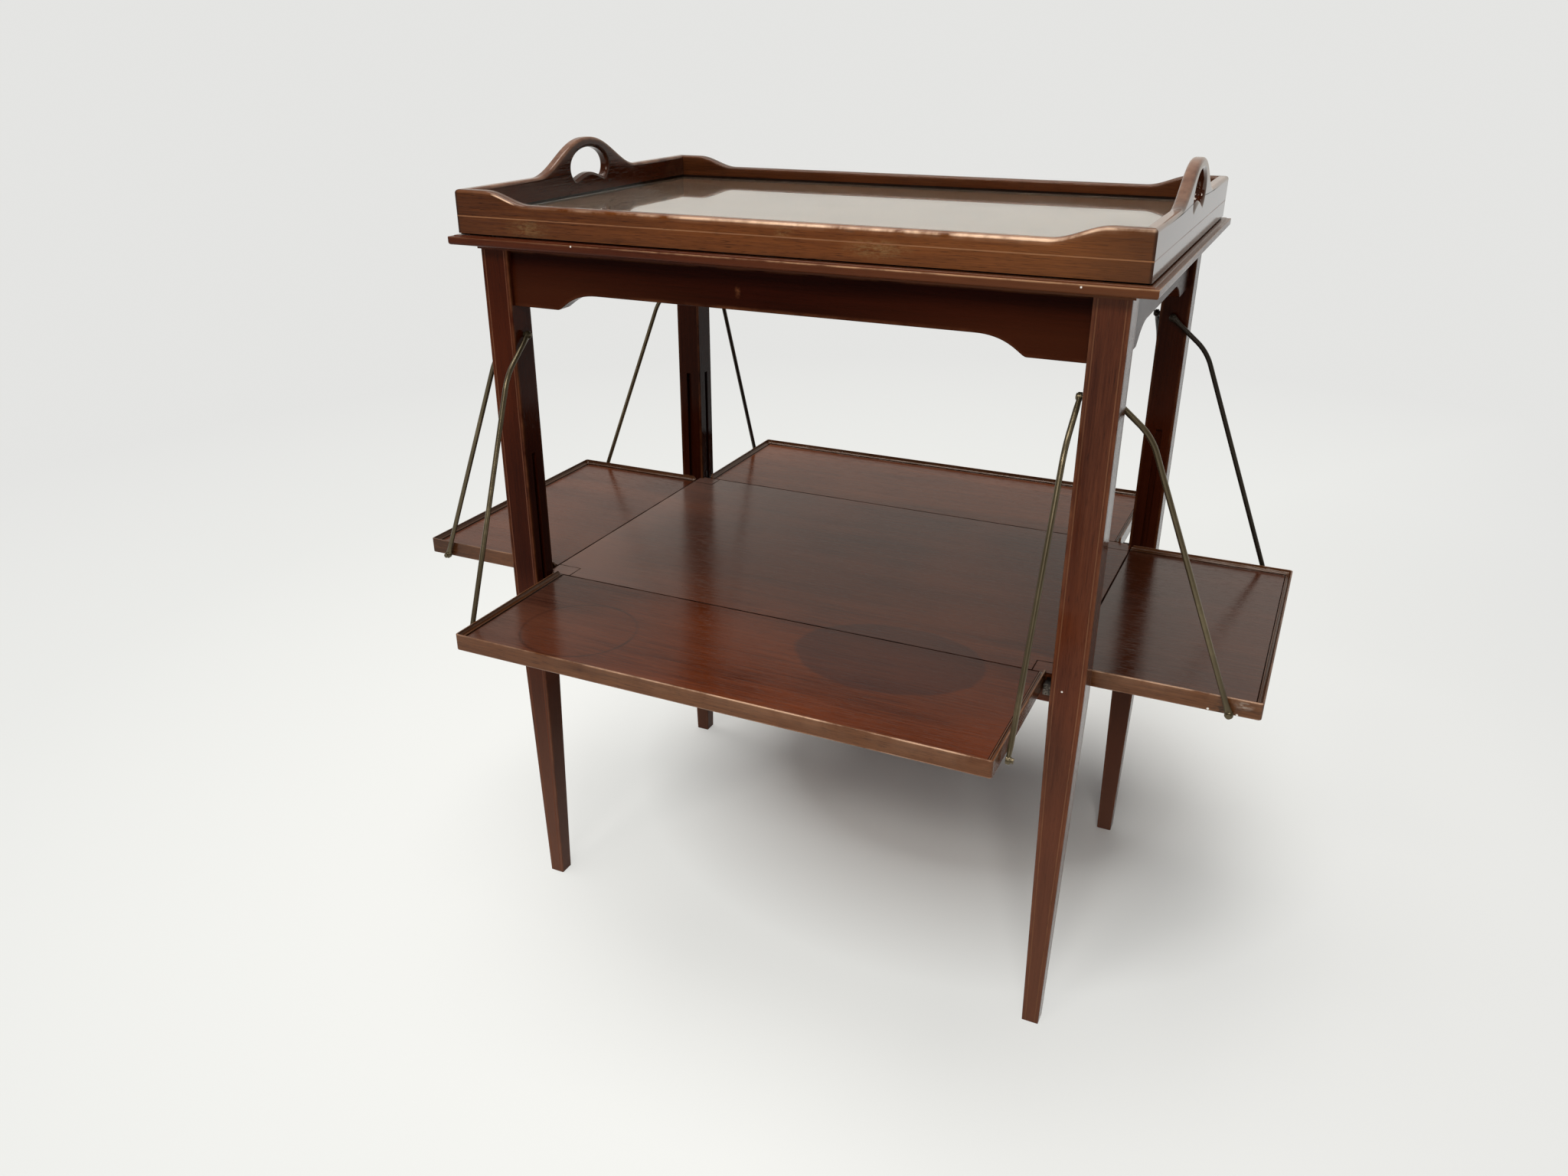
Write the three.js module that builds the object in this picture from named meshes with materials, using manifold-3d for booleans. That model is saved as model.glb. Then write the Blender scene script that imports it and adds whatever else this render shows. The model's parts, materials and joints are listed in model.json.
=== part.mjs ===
// Mahogany serving table of the metamorphic kind, with a lift-off butler's tray.
// The middle shelf slides up between the legs, and as it rises eight cranked rods swing
// its four hinged leaves down until they hang flat between the legs.
// Units are millimetres, +Z is up and +X is to the right. The origin lies on the floor
// under the middle of the table.

import * as THREE from "three";
import { mergeVertices } from "three/addons/utils/BufferGeometryUtils.js";
import Module from "manifold-3d";

const wasm = await Module();
wasm.setup();

// Fits and clearances
const glueLine = 0.2;
const fitGap = 0.3;
const runningGap = 0.1;
const overrun = 2;

// Legs
const legSpanX = 633.6;
const legSpanY = 414.2;
const legWidth = 30.2;
const footWidth = 15.5;
const taperHeight = 389;
const legArris = 0.8;

// Guide slots in the two inner faces of each leg
const slotWidth = 6.7;
const slotDepth = 5.4;
const slotTopDrop = 126;
const slotPlaceShare = 0.55;

// Table top, whose edge is an ovolo under a fillet under a shallow cove
const topHeight = 775.7;
const topOverhangX = 23.2;
const topOverhangY = 22.1;
const topThickness = 14;
const coveRun = 6.6;
const coveRise = 2.8;
const coveQuirk = 1;
const filletHeight = 7.2;
const ovoloRun = 4.5;

// Aprons, with a cyma at each end of the lower edge
const apronSetback = 5;
const apronThickness = 18;
const apronDepthAtLeg = 53.2;
const apronRise = 17;
const apronLowRun = 51;
const cymaRun = 36;
const tenonLength = 11;
const tenonThickness = 6;
const tenonShoulder = 8;

// Glue blocks in the angle of apron and top
const glueBlockLength = 60;
const glueBlockWidth = 14;
const glueBlockPlaceShare = 0.55;

// Tray
const trayInsetX = 7.6;
const trayInsetY = 8.2;
const trayFootGap = 3;
const boardThickness = 11.6;
const boardRound = 3.2;
const trayRimHeight = 39.3;
const trayRailHeight = 27.8;
const trayCornerRun = 43.4;
const railCymaRun = 32;
const trayFloorThickness = 8;
const trayRebate = 5;
const trayFloorHeight = 11;
const glassThickness = 3.2;
const bearerWidth = 30;

// Handle of each tray end: a hump with a finger hole that has two low corners
const humpHalfLength = 100;
const humpHeight = 34.5;
const humpPower = 1.12;
const holeHalfWidth = 36;
const holeRise = 20;
const holeHeight = 43.3;
const holeCornerDrop = 13;
const holeCornerReach = 28;
const holeArchRise = 7;

// Shelf
const shelfHeight = 406.4;
const shelfThickness = 12.4;
const seamOutset = 4.2;
const seamGap = 0.8;
const legNotchGap = 0.8;

// Guide blocks let into the shelf's corners, and their iron brackets
const blockLength = 28;
const blockDepth = 22;
const blockHeight = 30.4;
const bracketThickness = 11;
const bracketDrop = 4.4;
const bracketArmWidth = 8.8;
const tongueWidth = 4.5;
const tongueReach = 4.2;

// Leaves
const sideLeafWidth = 177.5;
const longLeafWidth = 180.6;
const leafEndGap = 10.2;
const lipWidth = 7;
const lipRise = 5;
const lipCrownWidth = 1.7;
const lipCrownRound = 0.6;
const lipBeadRadius = 0.8;
const lipBeadRise = 1.5;
const lipQuirk = 0.7;
const lipEndRun = 3;
const lipEndDrop = 3.4;

// Strip hinges let in under the seams
const stripInset = 6;
const stripWidth = 13;
const stripThickness = 1.2;
const knuckleRadius = 1.9;
const hingePinRadius = 0.8;

// Rods
const rodRadius = 2.8;
const rodOffset = 5;
const rodPivotDrop = 32.5;
const rodBendOut = 40;
const rodBendDrop = 33;
const rodBendRadius = 60;
const leafPinReach = 150;
const leafPinRise = 3;
const eyeRadius = 4;
const eyeThickness = 4;
const screwRadius = 1.5;
const screwHeadRadius = 3.1;
const screwHeadThickness = 1.3;
const screwCollarRadius = 2.5;
const pivotScrewDepth = 9;

// Numbers of faces and steps
const screwFaces = 8;
const rodFaces = 8;
const hingeFaces = 8;
const bendSteps = 5;
const roundSteps = 3;
const cymaSteps = 7;
const humpSteps = 18;
const holeSteps = 5;
const knuckleCount = 9;

// Heights and places worked out from the sizes above
const topUnderside = topHeight - topThickness;
const apronLow = topUnderside - apronDepthAtLeg;
const shelfUnderside = shelfHeight - shelfThickness;
const rodPivotHeight = apronLow - rodPivotDrop;
const slotTop = rodPivotHeight - slotTopDrop;
const innerX = legSpanX / 2 - legWidth;
const innerY = legSpanY / 2 - legWidth;
const legCentreX = innerX + legWidth / 2;
const legCentreY = innerY + legWidth / 2;
const apronX = legSpanX / 2 - apronSetback - apronThickness / 2;
const apronY = legSpanY / 2 - apronSetback - apronThickness / 2;
const seamX = innerX + seamOutset;
const seamY = innerY + seamOutset;
const panelX = seamX - seamGap / 2;
const panelY = seamY - seamGap / 2;
const betweenBlocksX = panelX - blockLength - glueLine;
const betweenBlocksY = panelY - blockDepth - glueLine;
const topLength = legSpanX + 2 * topOverhangX;
const topDepth = legSpanY + 2 * topOverhangY;
const trayLength = topLength - 2 * trayInsetX;
const trayDepth = topDepth - 2 * trayInsetY;
const railHalfLength = trayLength / 2 - trayCornerRun - railCymaRun;
const trayBottom = topHeight + trayFootGap;
const trayFloorTop = trayBottom + trayFloorHeight;
const bracketTop = shelfHeight - bracketDrop;
const bracketBottom = bracketTop - bracketThickness;
const slotBottom = bracketBottom - fitGap;
const slotPlaceX = innerX + slotPlaceShare * legWidth;
const slotPlaceY = innerY + slotPlaceShare * legWidth;

// Finishes
function finish(color, roughness, metalness) {
  return new THREE.MeshStandardMaterial({ color, roughness, metalness, flatShading: true });
}

const mahogany = finish(0x5b2413, 0.22, 0);
const lightMahogany = finish(0x7a3c1c, 0.26, 0);
const plainWood = finish(0x4a2c1a, 0.7, 0);
const brass = finish(0x8d6f3c, 0.4, 0.9);
const iron = finish(0x3b332d, 0.6, 0.8);
const glass = finish(0xc9d2cc, 0.04, 0);
glass.transparent = true;
glass.opacity = 0.35;

// The four corners of the table and the four sides that carry a leaf
const corners = [
  { name: "front_left", signX: -1, signY: -1 },
  { name: "front_right", signX: 1, signY: -1 },
  { name: "back_left", signX: -1, signY: 1 },
  { name: "back_right", signX: 1, signY: 1 },
];
const sideways = { seam: seamX, inner: innerY, hingeRoom: betweenBlocksY, leafWidth: sideLeafWidth };
const lengthways = { seam: seamY, inner: innerX, hingeRoom: betweenBlocksX, leafWidth: longLeafWidth };
const sides = [
  { name: "right", turn: 0, ends: ["front", "back"], ...sideways },
  { name: "back", turn: Math.PI / 2, ends: ["right", "left"], ...lengthways },
  { name: "left", turn: Math.PI, ends: ["back", "front"], ...sideways },
  { name: "front", turn: -Math.PI / 2, ends: ["left", "right"], ...lengthways },
];

const table = new THREE.Group();

// Keeps only the shared corner points of a geometry, as joining and cutting need.
function weld(geometry) {
  const bare = geometry.clone();
  bare.deleteAttribute("normal");
  bare.deleteAttribute("uv");
  return mergeVertices(bare);
}

// Turns the faces of a closed geometry outwards, by the sign of the volume that they enclose.
function facingOut(geometry) {
  const welded = weld(geometry);
  const points = welded.attributes.position;
  const index = welded.index.array;
  const [a, b, c] = [new THREE.Vector3(), new THREE.Vector3(), new THREE.Vector3()];
  let volume = 0;
  for (let i = 0; i < index.length; i += 3) {
    a.fromBufferAttribute(points, index[i]);
    b.fromBufferAttribute(points, index[i + 1]);
    c.fromBufferAttribute(points, index[i + 2]);
    volume += a.dot(b.cross(c));
  }
  if (volume < 0) index.reverse();
  return welded;
}

function toSolid(geometry) {
  const closed = facingOut(geometry);
  const vertProperties = new Float32Array(closed.attributes.position.array);
  const triVerts = new Uint32Array(closed.index.array);
  return new wasm.Manifold(new wasm.Mesh({ numProp: 3, vertProperties, triVerts }));
}

function toGeometry(solid) {
  const { vertProperties, triVerts } = solid.getMesh();
  const geometry = new THREE.BufferGeometry();
  geometry.setAttribute("position", new THREE.BufferAttribute(new Float32Array(vertProperties), 3));
  geometry.setIndex(new THREE.BufferAttribute(new Uint32Array(triVerts), 1));
  return geometry;
}

function join(first, ...others) {
  return toGeometry(others.reduce((body, other) => body.add(toSolid(other)), toSolid(first)));
}

function cut(first, ...tools) {
  return toGeometry(tools.reduce((body, tool) => body.subtract(toSolid(tool)), toSolid(first)));
}

function boxBetween([x0, y0, z0], [x1, y1, z1]) {
  const box = new THREE.BoxGeometry(x1 - x0, y1 - y0, z1 - z0);
  return box.translate((x0 + x1) / 2, (y0 + y1) / 2, (z0 + z1) / 2);
}

// A plan outline raised from one height to another.
function raised(shape, z0, z1) {
  const options = { depth: z1 - z0, bevelEnabled: false, curveSegments: holeSteps };
  return new THREE.ExtrudeGeometry(shape, options).translate(0, 0, z0);
}

// A front outline, drawn in X and Z, given a thickness about the plane y = 0.
function upright(shape, thickness, curveSegments) {
  const options = { depth: thickness, bevelEnabled: false, curveSegments };
  return new THREE.ExtrudeGeometry(shape, options).rotateX(Math.PI / 2).translate(0, thickness / 2, 0);
}

function polygon(points) {
  return new THREE.Shape(points.map(([x, y]) => new THREE.Vector2(x, y)));
}

// Triangles of a flat ring of points, wound as the ring is.
function capTriangles(ring) {
  const normal = new THREE.Vector3();
  ring.forEach((point, i) => normal.add(point.clone().cross(ring[(i + 1) % ring.length])));
  const dropped = [Math.abs(normal.x), Math.abs(normal.y), Math.abs(normal.z)];
  const axis = dropped.indexOf(Math.max(...dropped));
  const flat = ring.map((point) => {
    const kept = point.toArray().filter((value, i) => i !== axis);
    return new THREE.Vector2(...kept);
  });
  const ringTurn = Math.sign(THREE.ShapeUtils.area(flat));
  return THREE.ShapeUtils.triangulateShape(flat, []).map((triangle) => {
    const turn = Math.sign(THREE.ShapeUtils.area(triangle.map((i) => flat[i])));
    return turn === ringTurn ? triangle : [...triangle].reverse();
  });
}

// A solid skinned over a row of flat rings with the same number of points each.
function loft(rings) {
  const count = rings[0].length;
  const last = (rings.length - 1) * count;
  const index = [];
  for (let start = 0; start < last; start += count) {
    for (let i = 0; i < count; i += 1) {
      const j = (i + 1) % count;
      index.push(start + i, start + j, start + count + j);
      index.push(start + i, start + count + j, start + count + i);
    }
  }
  capTriangles(rings[0]).forEach(([a, b, c]) => index.push(c, b, a));
  capTriangles(rings[rings.length - 1]).forEach((triangle) => index.push(...triangle.map((i) => i + last)));
  const geometry = new THREE.BufferGeometry().setFromPoints(rings.flat());
  geometry.setIndex(index);
  return facingOut(geometry);
}

// Points of a quarter of an ellipse from one angle to another, ends included.
function arcPoints(centreX, centreY, radiusX, radiusY, from, to, steps) {
  const points = [];
  for (let i = 0; i <= steps; i += 1) {
    const angle = from + ((to - from) * i) / steps;
    points.push([centreX + radiusX * Math.cos(angle), centreY + radiusY * Math.sin(angle)]);
  }
  return points;
}

// A copy for one corner of the table, from a piece made for the back right corner.
function atCorner(geometry, corner) {
  return facingOut(geometry.clone().scale(corner.signX, corner.signY, 1));
}

function addPiece(parent, name, geometry, material) {
  const body = facingOut(geometry);
  body.computeVertexNormals();
  const mesh = new THREE.Mesh(body, material);
  mesh.name = name;
  parent.add(mesh);
  return mesh;
}

// A round pin along Y.
function pinAlongY(radius, y0, y1, faces) {
  return new THREE.CylinderGeometry(radius, radius, y1 - y0, faces).translate(0, (y0 + y1) / 2, 0);
}

// A bore along Y, whose flats lie outside the stated radius, so that a pin can turn in it.
function boreAlongY(radius, y0, y1, faces) {
  return pinAlongY(radius / Math.cos(Math.PI / faces), y0, y1, faces);
}

// Leg at the back right: square above the shelf and tapered on all four faces below it.
// It is slotted for the shelf's guides, mortised for two aprons and drilled for two rod pivots.
function legRing(z, width) {
  const half = width / 2;
  const flat = half - legArris;
  const outline = [
    [flat, -half], [half, -flat], [half, flat], [flat, half],
    [-flat, half], [-half, flat], [-half, -flat], [-flat, -half],
  ];
  return outline.map(([x, y]) => new THREE.Vector3(legCentreX + x, legCentreY + y, z));
}

function legGeometry() {
  const top = topUnderside - glueLine;
  const post = loft([legRing(0, footWidth), legRing(taperHeight, legWidth), legRing(top, legWidth)]);
  const slotHalf = slotWidth / 2;
  const tenonHalf = tenonThickness / 2 + fitGap;
  const mortiseLow = apronLow + tenonShoulder - fitGap;
  const mortiseHigh = topUnderside - tenonShoulder + fitGap;
  const mortiseDepth = tenonLength + fitGap;
  const hole = boreAlongY(screwRadius + fitGap, -overrun, pivotScrewDepth + fitGap, screwFaces);
  return cut(
    post,
    boxBetween(
      [innerX - overrun, slotPlaceY - slotHalf, slotBottom],
      [innerX + slotDepth, slotPlaceY + slotHalf, slotTop],
    ),
    boxBetween(
      [slotPlaceX - slotHalf, innerY - overrun, slotBottom],
      [slotPlaceX + slotHalf, innerY + slotDepth, slotTop],
    ),
    boxBetween(
      [innerX - overrun, apronY - tenonHalf, mortiseLow],
      [innerX + mortiseDepth, apronY + tenonHalf, mortiseHigh],
    ),
    boxBetween(
      [apronX - tenonHalf, innerY - overrun, mortiseLow],
      [apronX + tenonHalf, innerY + mortiseDepth, mortiseHigh],
    ),
    hole.clone().translate(legCentreX, innerY, rodPivotHeight),
    hole.clone().rotateZ(-Math.PI / 2).translate(innerX, legCentreY, rodPivotHeight),
  );
}

// Apron: a board tenoned into two legs, with its lower edge rising in a cyma at each end.
// Glue blocks are rubbed into its angle with the top, at the given shares of its half length.
function apronGeometry(innerHalf, blockShares) {
  const end = innerHalf - glueLine;
  const top = topUnderside - glueLine;
  const cymaLow = innerHalf - apronLowRun;
  const cymaHigh = cymaLow - cymaRun;
  const high = apronLow + apronRise;
  const nearShare = 0.32;
  const farShare = 0.56;
  const liftShare = 0.07;
  const shape = new THREE.Shape();
  shape.moveTo(-end, top);
  shape.lineTo(-end, apronLow);
  for (const side of [-1, 1]) {
    const [startX, startZ] = side < 0 ? [cymaLow, apronLow] : [cymaHigh, high];
    const [endX, endZ] = side < 0 ? [cymaHigh, high] : [cymaLow, apronLow];
    const lowControl = [side * (cymaLow - nearShare * cymaRun), apronLow + liftShare * apronRise];
    const highControl = [side * (cymaLow - farShare * cymaRun), high];
    const controls = side < 0 ? [...lowControl, ...highControl] : [...highControl, ...lowControl];
    shape.lineTo(side * startX, startZ);
    shape.bezierCurveTo(...controls, side * endX, endZ);
  }
  shape.lineTo(end, apronLow);
  shape.lineTo(end, top);
  const tenonHalf = tenonThickness / 2;
  const tenonLow = apronLow + tenonShoulder;
  const tenonHigh = topUnderside - tenonShoulder;
  const tenons = [-1, 1].map((side) => {
    const middle = side * innerHalf;
    const low = [middle - tenonLength, -tenonHalf, tenonLow];
    return boxBetween(low, [middle + tenonLength, tenonHalf, tenonHigh]);
  });
  const blockTop = top - glueLine;
  const blockFace = apronThickness / 2 + glueBlockWidth;
  const blocks = blockShares.map((share) => {
    const middle = share * innerHalf;
    const low = [middle - glueBlockLength / 2, 0, blockTop - glueBlockWidth];
    return boxBetween(low, [middle + glueBlockLength / 2, blockFace, blockTop]);
  });
  return join(upright(shape, apronThickness, cymaSteps), ...tenons, ...blocks);
}

// Table top: one panel whose moulded edge is a row of rectangles, each set in and raised.
function tableTopGeometry() {
  const filletTop = topHeight - coveRise;
  const filletBottom = filletTop - filletHeight;
  const ovoloDrop = filletBottom - topUnderside;
  const edge = [
    ...arcPoints(ovoloRun, filletBottom, ovoloRun, ovoloDrop, -Math.PI / 2, -Math.PI, roundSteps),
    [0, filletTop],
    ...arcPoints(coveQuirk, topHeight, coveRun, coveRise, -Math.PI / 2, 0, roundSteps),
  ];
  return loft(edge.map(([inset, z]) => {
    const halfX = topLength / 2 - inset;
    const halfY = topDepth / 2 - inset;
    const ring = [[-halfX, -halfY], [halfX, -halfY], [halfX, halfY], [-halfX, halfY]];
    return ring.map(([x, y]) => new THREE.Vector3(x, y, z));
  }));
}

// Screw on which a rod turns, with its thread end at -Y and a collar that spaces the rod.
function screwGeometry(depth, collarLength, eyeLength) {
  const collarEnd = collarLength;
  const headStart = collarEnd + eyeLength;
  const headEnd = headStart + screwHeadThickness;
  const profile = [
    [0, -depth],
    [screwRadius, -depth],
    [screwRadius, 0],
    [screwCollarRadius, 0],
    [screwCollarRadius, collarEnd],
    [screwRadius, collarEnd],
    [screwRadius, headStart],
    [screwHeadRadius, headStart],
    [screwHeadRadius, headStart + screwHeadThickness / 2],
    [screwHeadRadius - screwHeadThickness / 2, headEnd],
    [0, headEnd],
  ];
  return new THREE.LatheGeometry(profile.map(([r, y]) => new THREE.Vector2(r, y)), screwFaces);
}

// Front view of the tray's boards: height of the upper edge above the tray's underside.
function railHeightAt(x) {
  const share = THREE.MathUtils.clamp((Math.abs(x) - railHalfLength) / railCymaRun, 0, 1);
  return trayRailHeight + (trayRimHeight - trayRailHeight) * (0.5 - 0.5 * Math.cos(Math.PI * share));
}

function humpHeightAt(y) {
  const share = Math.min(Math.abs(y) / humpHalfLength, 1);
  return trayRimHeight + humpHeight * Math.cos((Math.PI / 2) * share ** humpPower) ** 2;
}

// Tray board with its outer face towards -Y: rounded on top, rebated for the floor and
// mitred at both ends, with its upper edge following the given height.
function trayBoardGeometry(halfLength, halfAcross, stations, heightAt) {
  const ring = (x, mitre) => {
    const top = trayBottom + heightAt(x);
    const roundedEdge = (centre, from, to) => {
      return arcPoints(centre, top - boardRound, boardRound, boardRound, from, to, roundSteps);
    };
    const section = [
      [0, trayBottom],
      [boardThickness - trayRebate, trayBottom],
      [boardThickness - trayRebate, trayFloorTop],
      [boardThickness, trayFloorTop],
      ...roundedEdge(boardThickness - boardRound, 0, Math.PI / 2),
      ...roundedEdge(boardRound, Math.PI / 2, Math.PI),
    ];
    return section.map(([inward, z]) => {
      const along = mitre === 0 ? x : mitre * (halfLength - glueLine - inward);
      return new THREE.Vector3(along, inward - halfAcross, z);
    });
  };
  const places = [...stations.map((x) => -x).reverse(), ...stations.filter((x) => x > 0)];
  return loft([ring(-halfLength, -1), ...places.map((x) => ring(x, 0)), ring(halfLength, 1)]);
}

function longBoardGeometry() {
  const stations = [];
  for (let i = 0; i <= cymaSteps; i += 1) {
    stations.push(railHalfLength + (railCymaRun * i) / cymaSteps);
  }
  return trayBoardGeometry(trayLength / 2, trayDepth / 2, stations, railHeightAt);
}

// Finger hole: half an ellipse above, a low arch below, and a pointed corner on each side of it.
function fingerHoleShape() {
  const centreZ = trayBottom + holeHeight;
  const cornerZ = centreZ - holeCornerDrop;
  const archZ = cornerZ + holeArchRise;
  const sideShare = 0.45;
  const turnShare = 0.62;
  const turnRiseShare = 0.25;
  const slopeShare = 0.7;
  const slopeRiseShare = 0.4;
  const crownShare = 0.35;
  const sideZ = centreZ - sideShare * holeCornerDrop;
  const turnX = holeCornerReach + turnShare * (holeHalfWidth - holeCornerReach);
  const turnZ = cornerZ + turnRiseShare * holeCornerDrop;
  const slopeX = slopeShare * holeCornerReach;
  const slopeZ = cornerZ + slopeRiseShare * holeArchRise;
  const crownX = crownShare * holeCornerReach;
  const shape = new THREE.Shape();
  shape.moveTo(holeHalfWidth, centreZ);
  shape.absellipse(0, centreZ, holeHalfWidth, holeRise, 0, Math.PI, false);
  shape.bezierCurveTo(-holeHalfWidth, sideZ, -turnX, turnZ, -holeCornerReach, cornerZ);
  shape.bezierCurveTo(-slopeX, slopeZ, -crownX, archZ, 0, archZ);
  shape.bezierCurveTo(crownX, archZ, slopeX, slopeZ, holeCornerReach, cornerZ);
  shape.bezierCurveTo(turnX, turnZ, holeHalfWidth, sideZ, holeHalfWidth, centreZ);
  return shape;
}

function handleBoardGeometry() {
  const stations = [];
  for (let i = 0; i <= humpSteps / 2; i += 1) {
    stations.push((humpHalfLength * i) / (humpSteps / 2));
  }
  const board = trayBoardGeometry(trayDepth / 2, trayLength / 2, stations, humpHeightAt);
  const hole = upright(fingerHoleShape(), boardThickness + 2 * overrun, holeSteps);
  return cut(board, hole.translate(0, boardThickness / 2 - trayLength / 2, 0));
}

// Guide block, let into the shelf's corner and notched round the leg.
function bracketOutline(gap) {
  const nearX = innerX - fitGap - bracketArmWidth - gap;
  const nearY = innerY - fitGap - bracketArmWidth - gap;
  const faceX = innerX - fitGap + gap;
  const faceY = innerY - fitGap + gap;
  const endX = slotPlaceX + tongueWidth / 2 + gap;
  const endY = slotPlaceY + tongueWidth / 2 + gap;
  const tongueX = slotPlaceX - tongueWidth / 2 - gap;
  const tongueY = slotPlaceY - tongueWidth / 2 - gap;
  return polygon([
    [nearX, nearY], [endX, nearY], [endX, innerY + tongueReach], [tongueX, innerY + tongueReach],
    [tongueX, faceY], [faceX, faceY], [faceX, tongueY], [innerX + tongueReach, tongueY],
    [innerX + tongueReach, endY], [nearX, endY],
  ]);
}

function guideBlockGeometry() {
  const notchX = innerX - legNotchGap;
  const notchY = innerY - legNotchGap;
  const outline = polygon([
    [panelX - blockLength, panelY - blockDepth], [panelX, panelY - blockDepth], [panelX, notchY],
    [notchX, notchY], [notchX, panelY], [panelX - blockLength, panelY],
  ]);
  const block = raised(outline, shelfHeight - blockHeight, shelfHeight);
  return cut(block, raised(bracketOutline(fitGap), bracketBottom - fitGap, bracketTop + fitGap));
}

// A strip hinge lies along Y under a seam. Its pin is the Y axis here, at the shelf's underside,
// and its two plates share the knuckles in turn.
function stripHalf(side) {
  return side.hingeRoom - stripInset;
}

function stripGeometry(side, direction, firstKnuckle) {
  const half = stripHalf(side);
  const pitch = (2 * half) / knuckleCount;
  const plateStart = knuckleRadius + fitGap;
  const pieces = [];
  for (let i = firstKnuckle; i < knuckleCount; i += 2) {
    const y0 = i * pitch - half + fitGap / 2;
    const y1 = (i + 1) * pitch - half - fitGap / 2;
    pieces.push(pinAlongY(knuckleRadius, y0, y1, hingeFaces));
    pieces.push(boxBetween([0, y0, 0], [plateStart + overrun, y1, stripThickness]));
  }
  const plate = boxBetween([plateStart, -half, 0], [stripWidth, half, stripThickness]);
  return join(plate, ...pieces).scale(direction, 1, 1);
}

function shelfStripGeometry(side) {
  const half = stripHalf(side);
  return join(stripGeometry(side, -1, 0), pinAlongY(hingePinRadius, -half, half, hingeFaces));
}

function leafStripGeometry(side) {
  const half = side.inner;
  return cut(stripGeometry(side, 1, 1), boreAlongY(hingePinRadius + runningGap, -half, half, hingeFaces));
}

// Recess that takes one plate and half the knuckles, on the side that the direction gives.
function stripRecess(side, direction) {
  const half = stripHalf(side) + fitGap;
  const bed = boxBetween([0, -half, -overrun], [stripWidth + fitGap, half, stripThickness + fitGap]);
  const barrel = boreAlongY(knuckleRadius + fitGap, -half, half, hingeFaces);
  return join(bed, barrel).scale(direction, 1, 1).translate(side.seam, 0, shelfUnderside);
}

function shelfPanelGeometry() {
  const [stepX, stepY] = [betweenBlocksX, betweenBlocksY];
  const outline = polygon([
    [-stepX, -panelY], [stepX, -panelY], [stepX, -stepY], [panelX, -stepY],
    [panelX, stepY], [stepX, stepY], [stepX, panelY], [-stepX, panelY],
    [-stepX, stepY], [-panelX, stepY], [-panelX, -stepY], [-stepX, -stepY],
  ]);
  const recesses = sides.map((side) => stripRecess(side, -1).rotateZ(side.turn));
  return cut(raised(outline, shelfUnderside, shelfHeight), ...recesses);
}

// Leaf panel in its side's own frame, where +X points away from the table.
function leafPanelGeometry(side) {
  const half = side.inner - leafEndGap - lipWidth - glueLine;
  const board = boxBetween(
    [side.seam + seamGap / 2, -half, shelfUnderside],
    [side.seam + side.leafWidth - lipWidth - glueLine, half, shelfHeight],
  );
  return cut(board, stripRecess(side, 1));
}

// Lip: one moulding mitred round the outer edge and both ends of a leaf. A narrow crown stands
// above the leaf along the outer face, and a cove leads down from it to a small bead with a quirk
// beside the panel. The two blunt ends are eased down at the seam.
function leafLipGeometry(side) {
  const section = (drop) => {
    const riseShare = 1 - drop / lipRise;
    const heightOf = (rise) => shelfHeight + rise * riseShare;
    const beadBase = lipBeadRise - lipBeadRadius;
    const beadCentre = lipQuirk + lipBeadRadius;
    const coveStart = beadCentre + lipBeadRadius;
    const coveRun = lipWidth - lipCrownWidth - coveStart;
    const bead = arcPoints(
      beadCentre, heightOf(beadBase), lipBeadRadius, lipBeadRadius * riseShare, Math.PI, 0, roundSteps,
    );
    const cove = arcPoints(
      coveStart, heightOf(lipRise), coveRun, (lipRise - beadBase) * riseShare, -Math.PI / 2, 0, roundSteps,
    );
    const crownTop = heightOf(lipRise) - lipCrownRound;
    const crown = arcPoints(
      lipWidth - lipCrownRound, crownTop, lipCrownRound, lipCrownRound, Math.PI / 2, 0, roundSteps,
    );
    return [
      [0, shelfUnderside],
      [0, shelfHeight - lipQuirk],
      [lipQuirk, shelfHeight],
      ...bead,
      ...cove.slice(1),
      ...crown,
      [lipWidth, shelfUnderside + lipQuirk],
      [lipWidth - lipQuirk, shelfUnderside],
    ];
  };
  const innerEdge = side.seam + side.leafWidth - lipWidth;
  const innerEnd = side.inner - leafEndGap - lipWidth;
  const start = side.seam + seamGap / 2;
  const straight = (x, end, drop) => {
    return section(drop).map(([out, z]) => new THREE.Vector3(x, end * (innerEnd + out), z));
  };
  const mitred = (end) => {
    return section(0).map(([out, z]) => new THREE.Vector3(innerEdge + out, end * (innerEnd + out), z));
  };
  return loft([
    straight(start, -1, lipEndDrop),
    straight(start + lipEndRun, -1, 0),
    mitred(-1),
    mitred(1),
    straight(start + lipEndRun, 1, 0),
    straight(start, 1, lipEndDrop),
  ]);
}

// Centre line of a cranked rod: a short arm, the bend and a long arm, in the plane y = 0.
class RodCurve extends THREE.Curve {
  constructor(stations) {
    super();
    this.stations = stations;
  }

  getPoint(share, target = new THREE.Vector3()) {
    const last = this.stations.length - 1;
    const place = THREE.MathUtils.clamp(share, 0, 1) * last;
    const start = Math.min(Math.floor(place), last - 1);
    return target.lerpVectors(this.stations[start], this.stations[start + 1], place - start);
  }

  getPointAt(share, target) {
    return this.getPoint(share, target);
  }

  getTangentAt(share, target) {
    return this.getTangent(share, target);
  }
}

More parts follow.
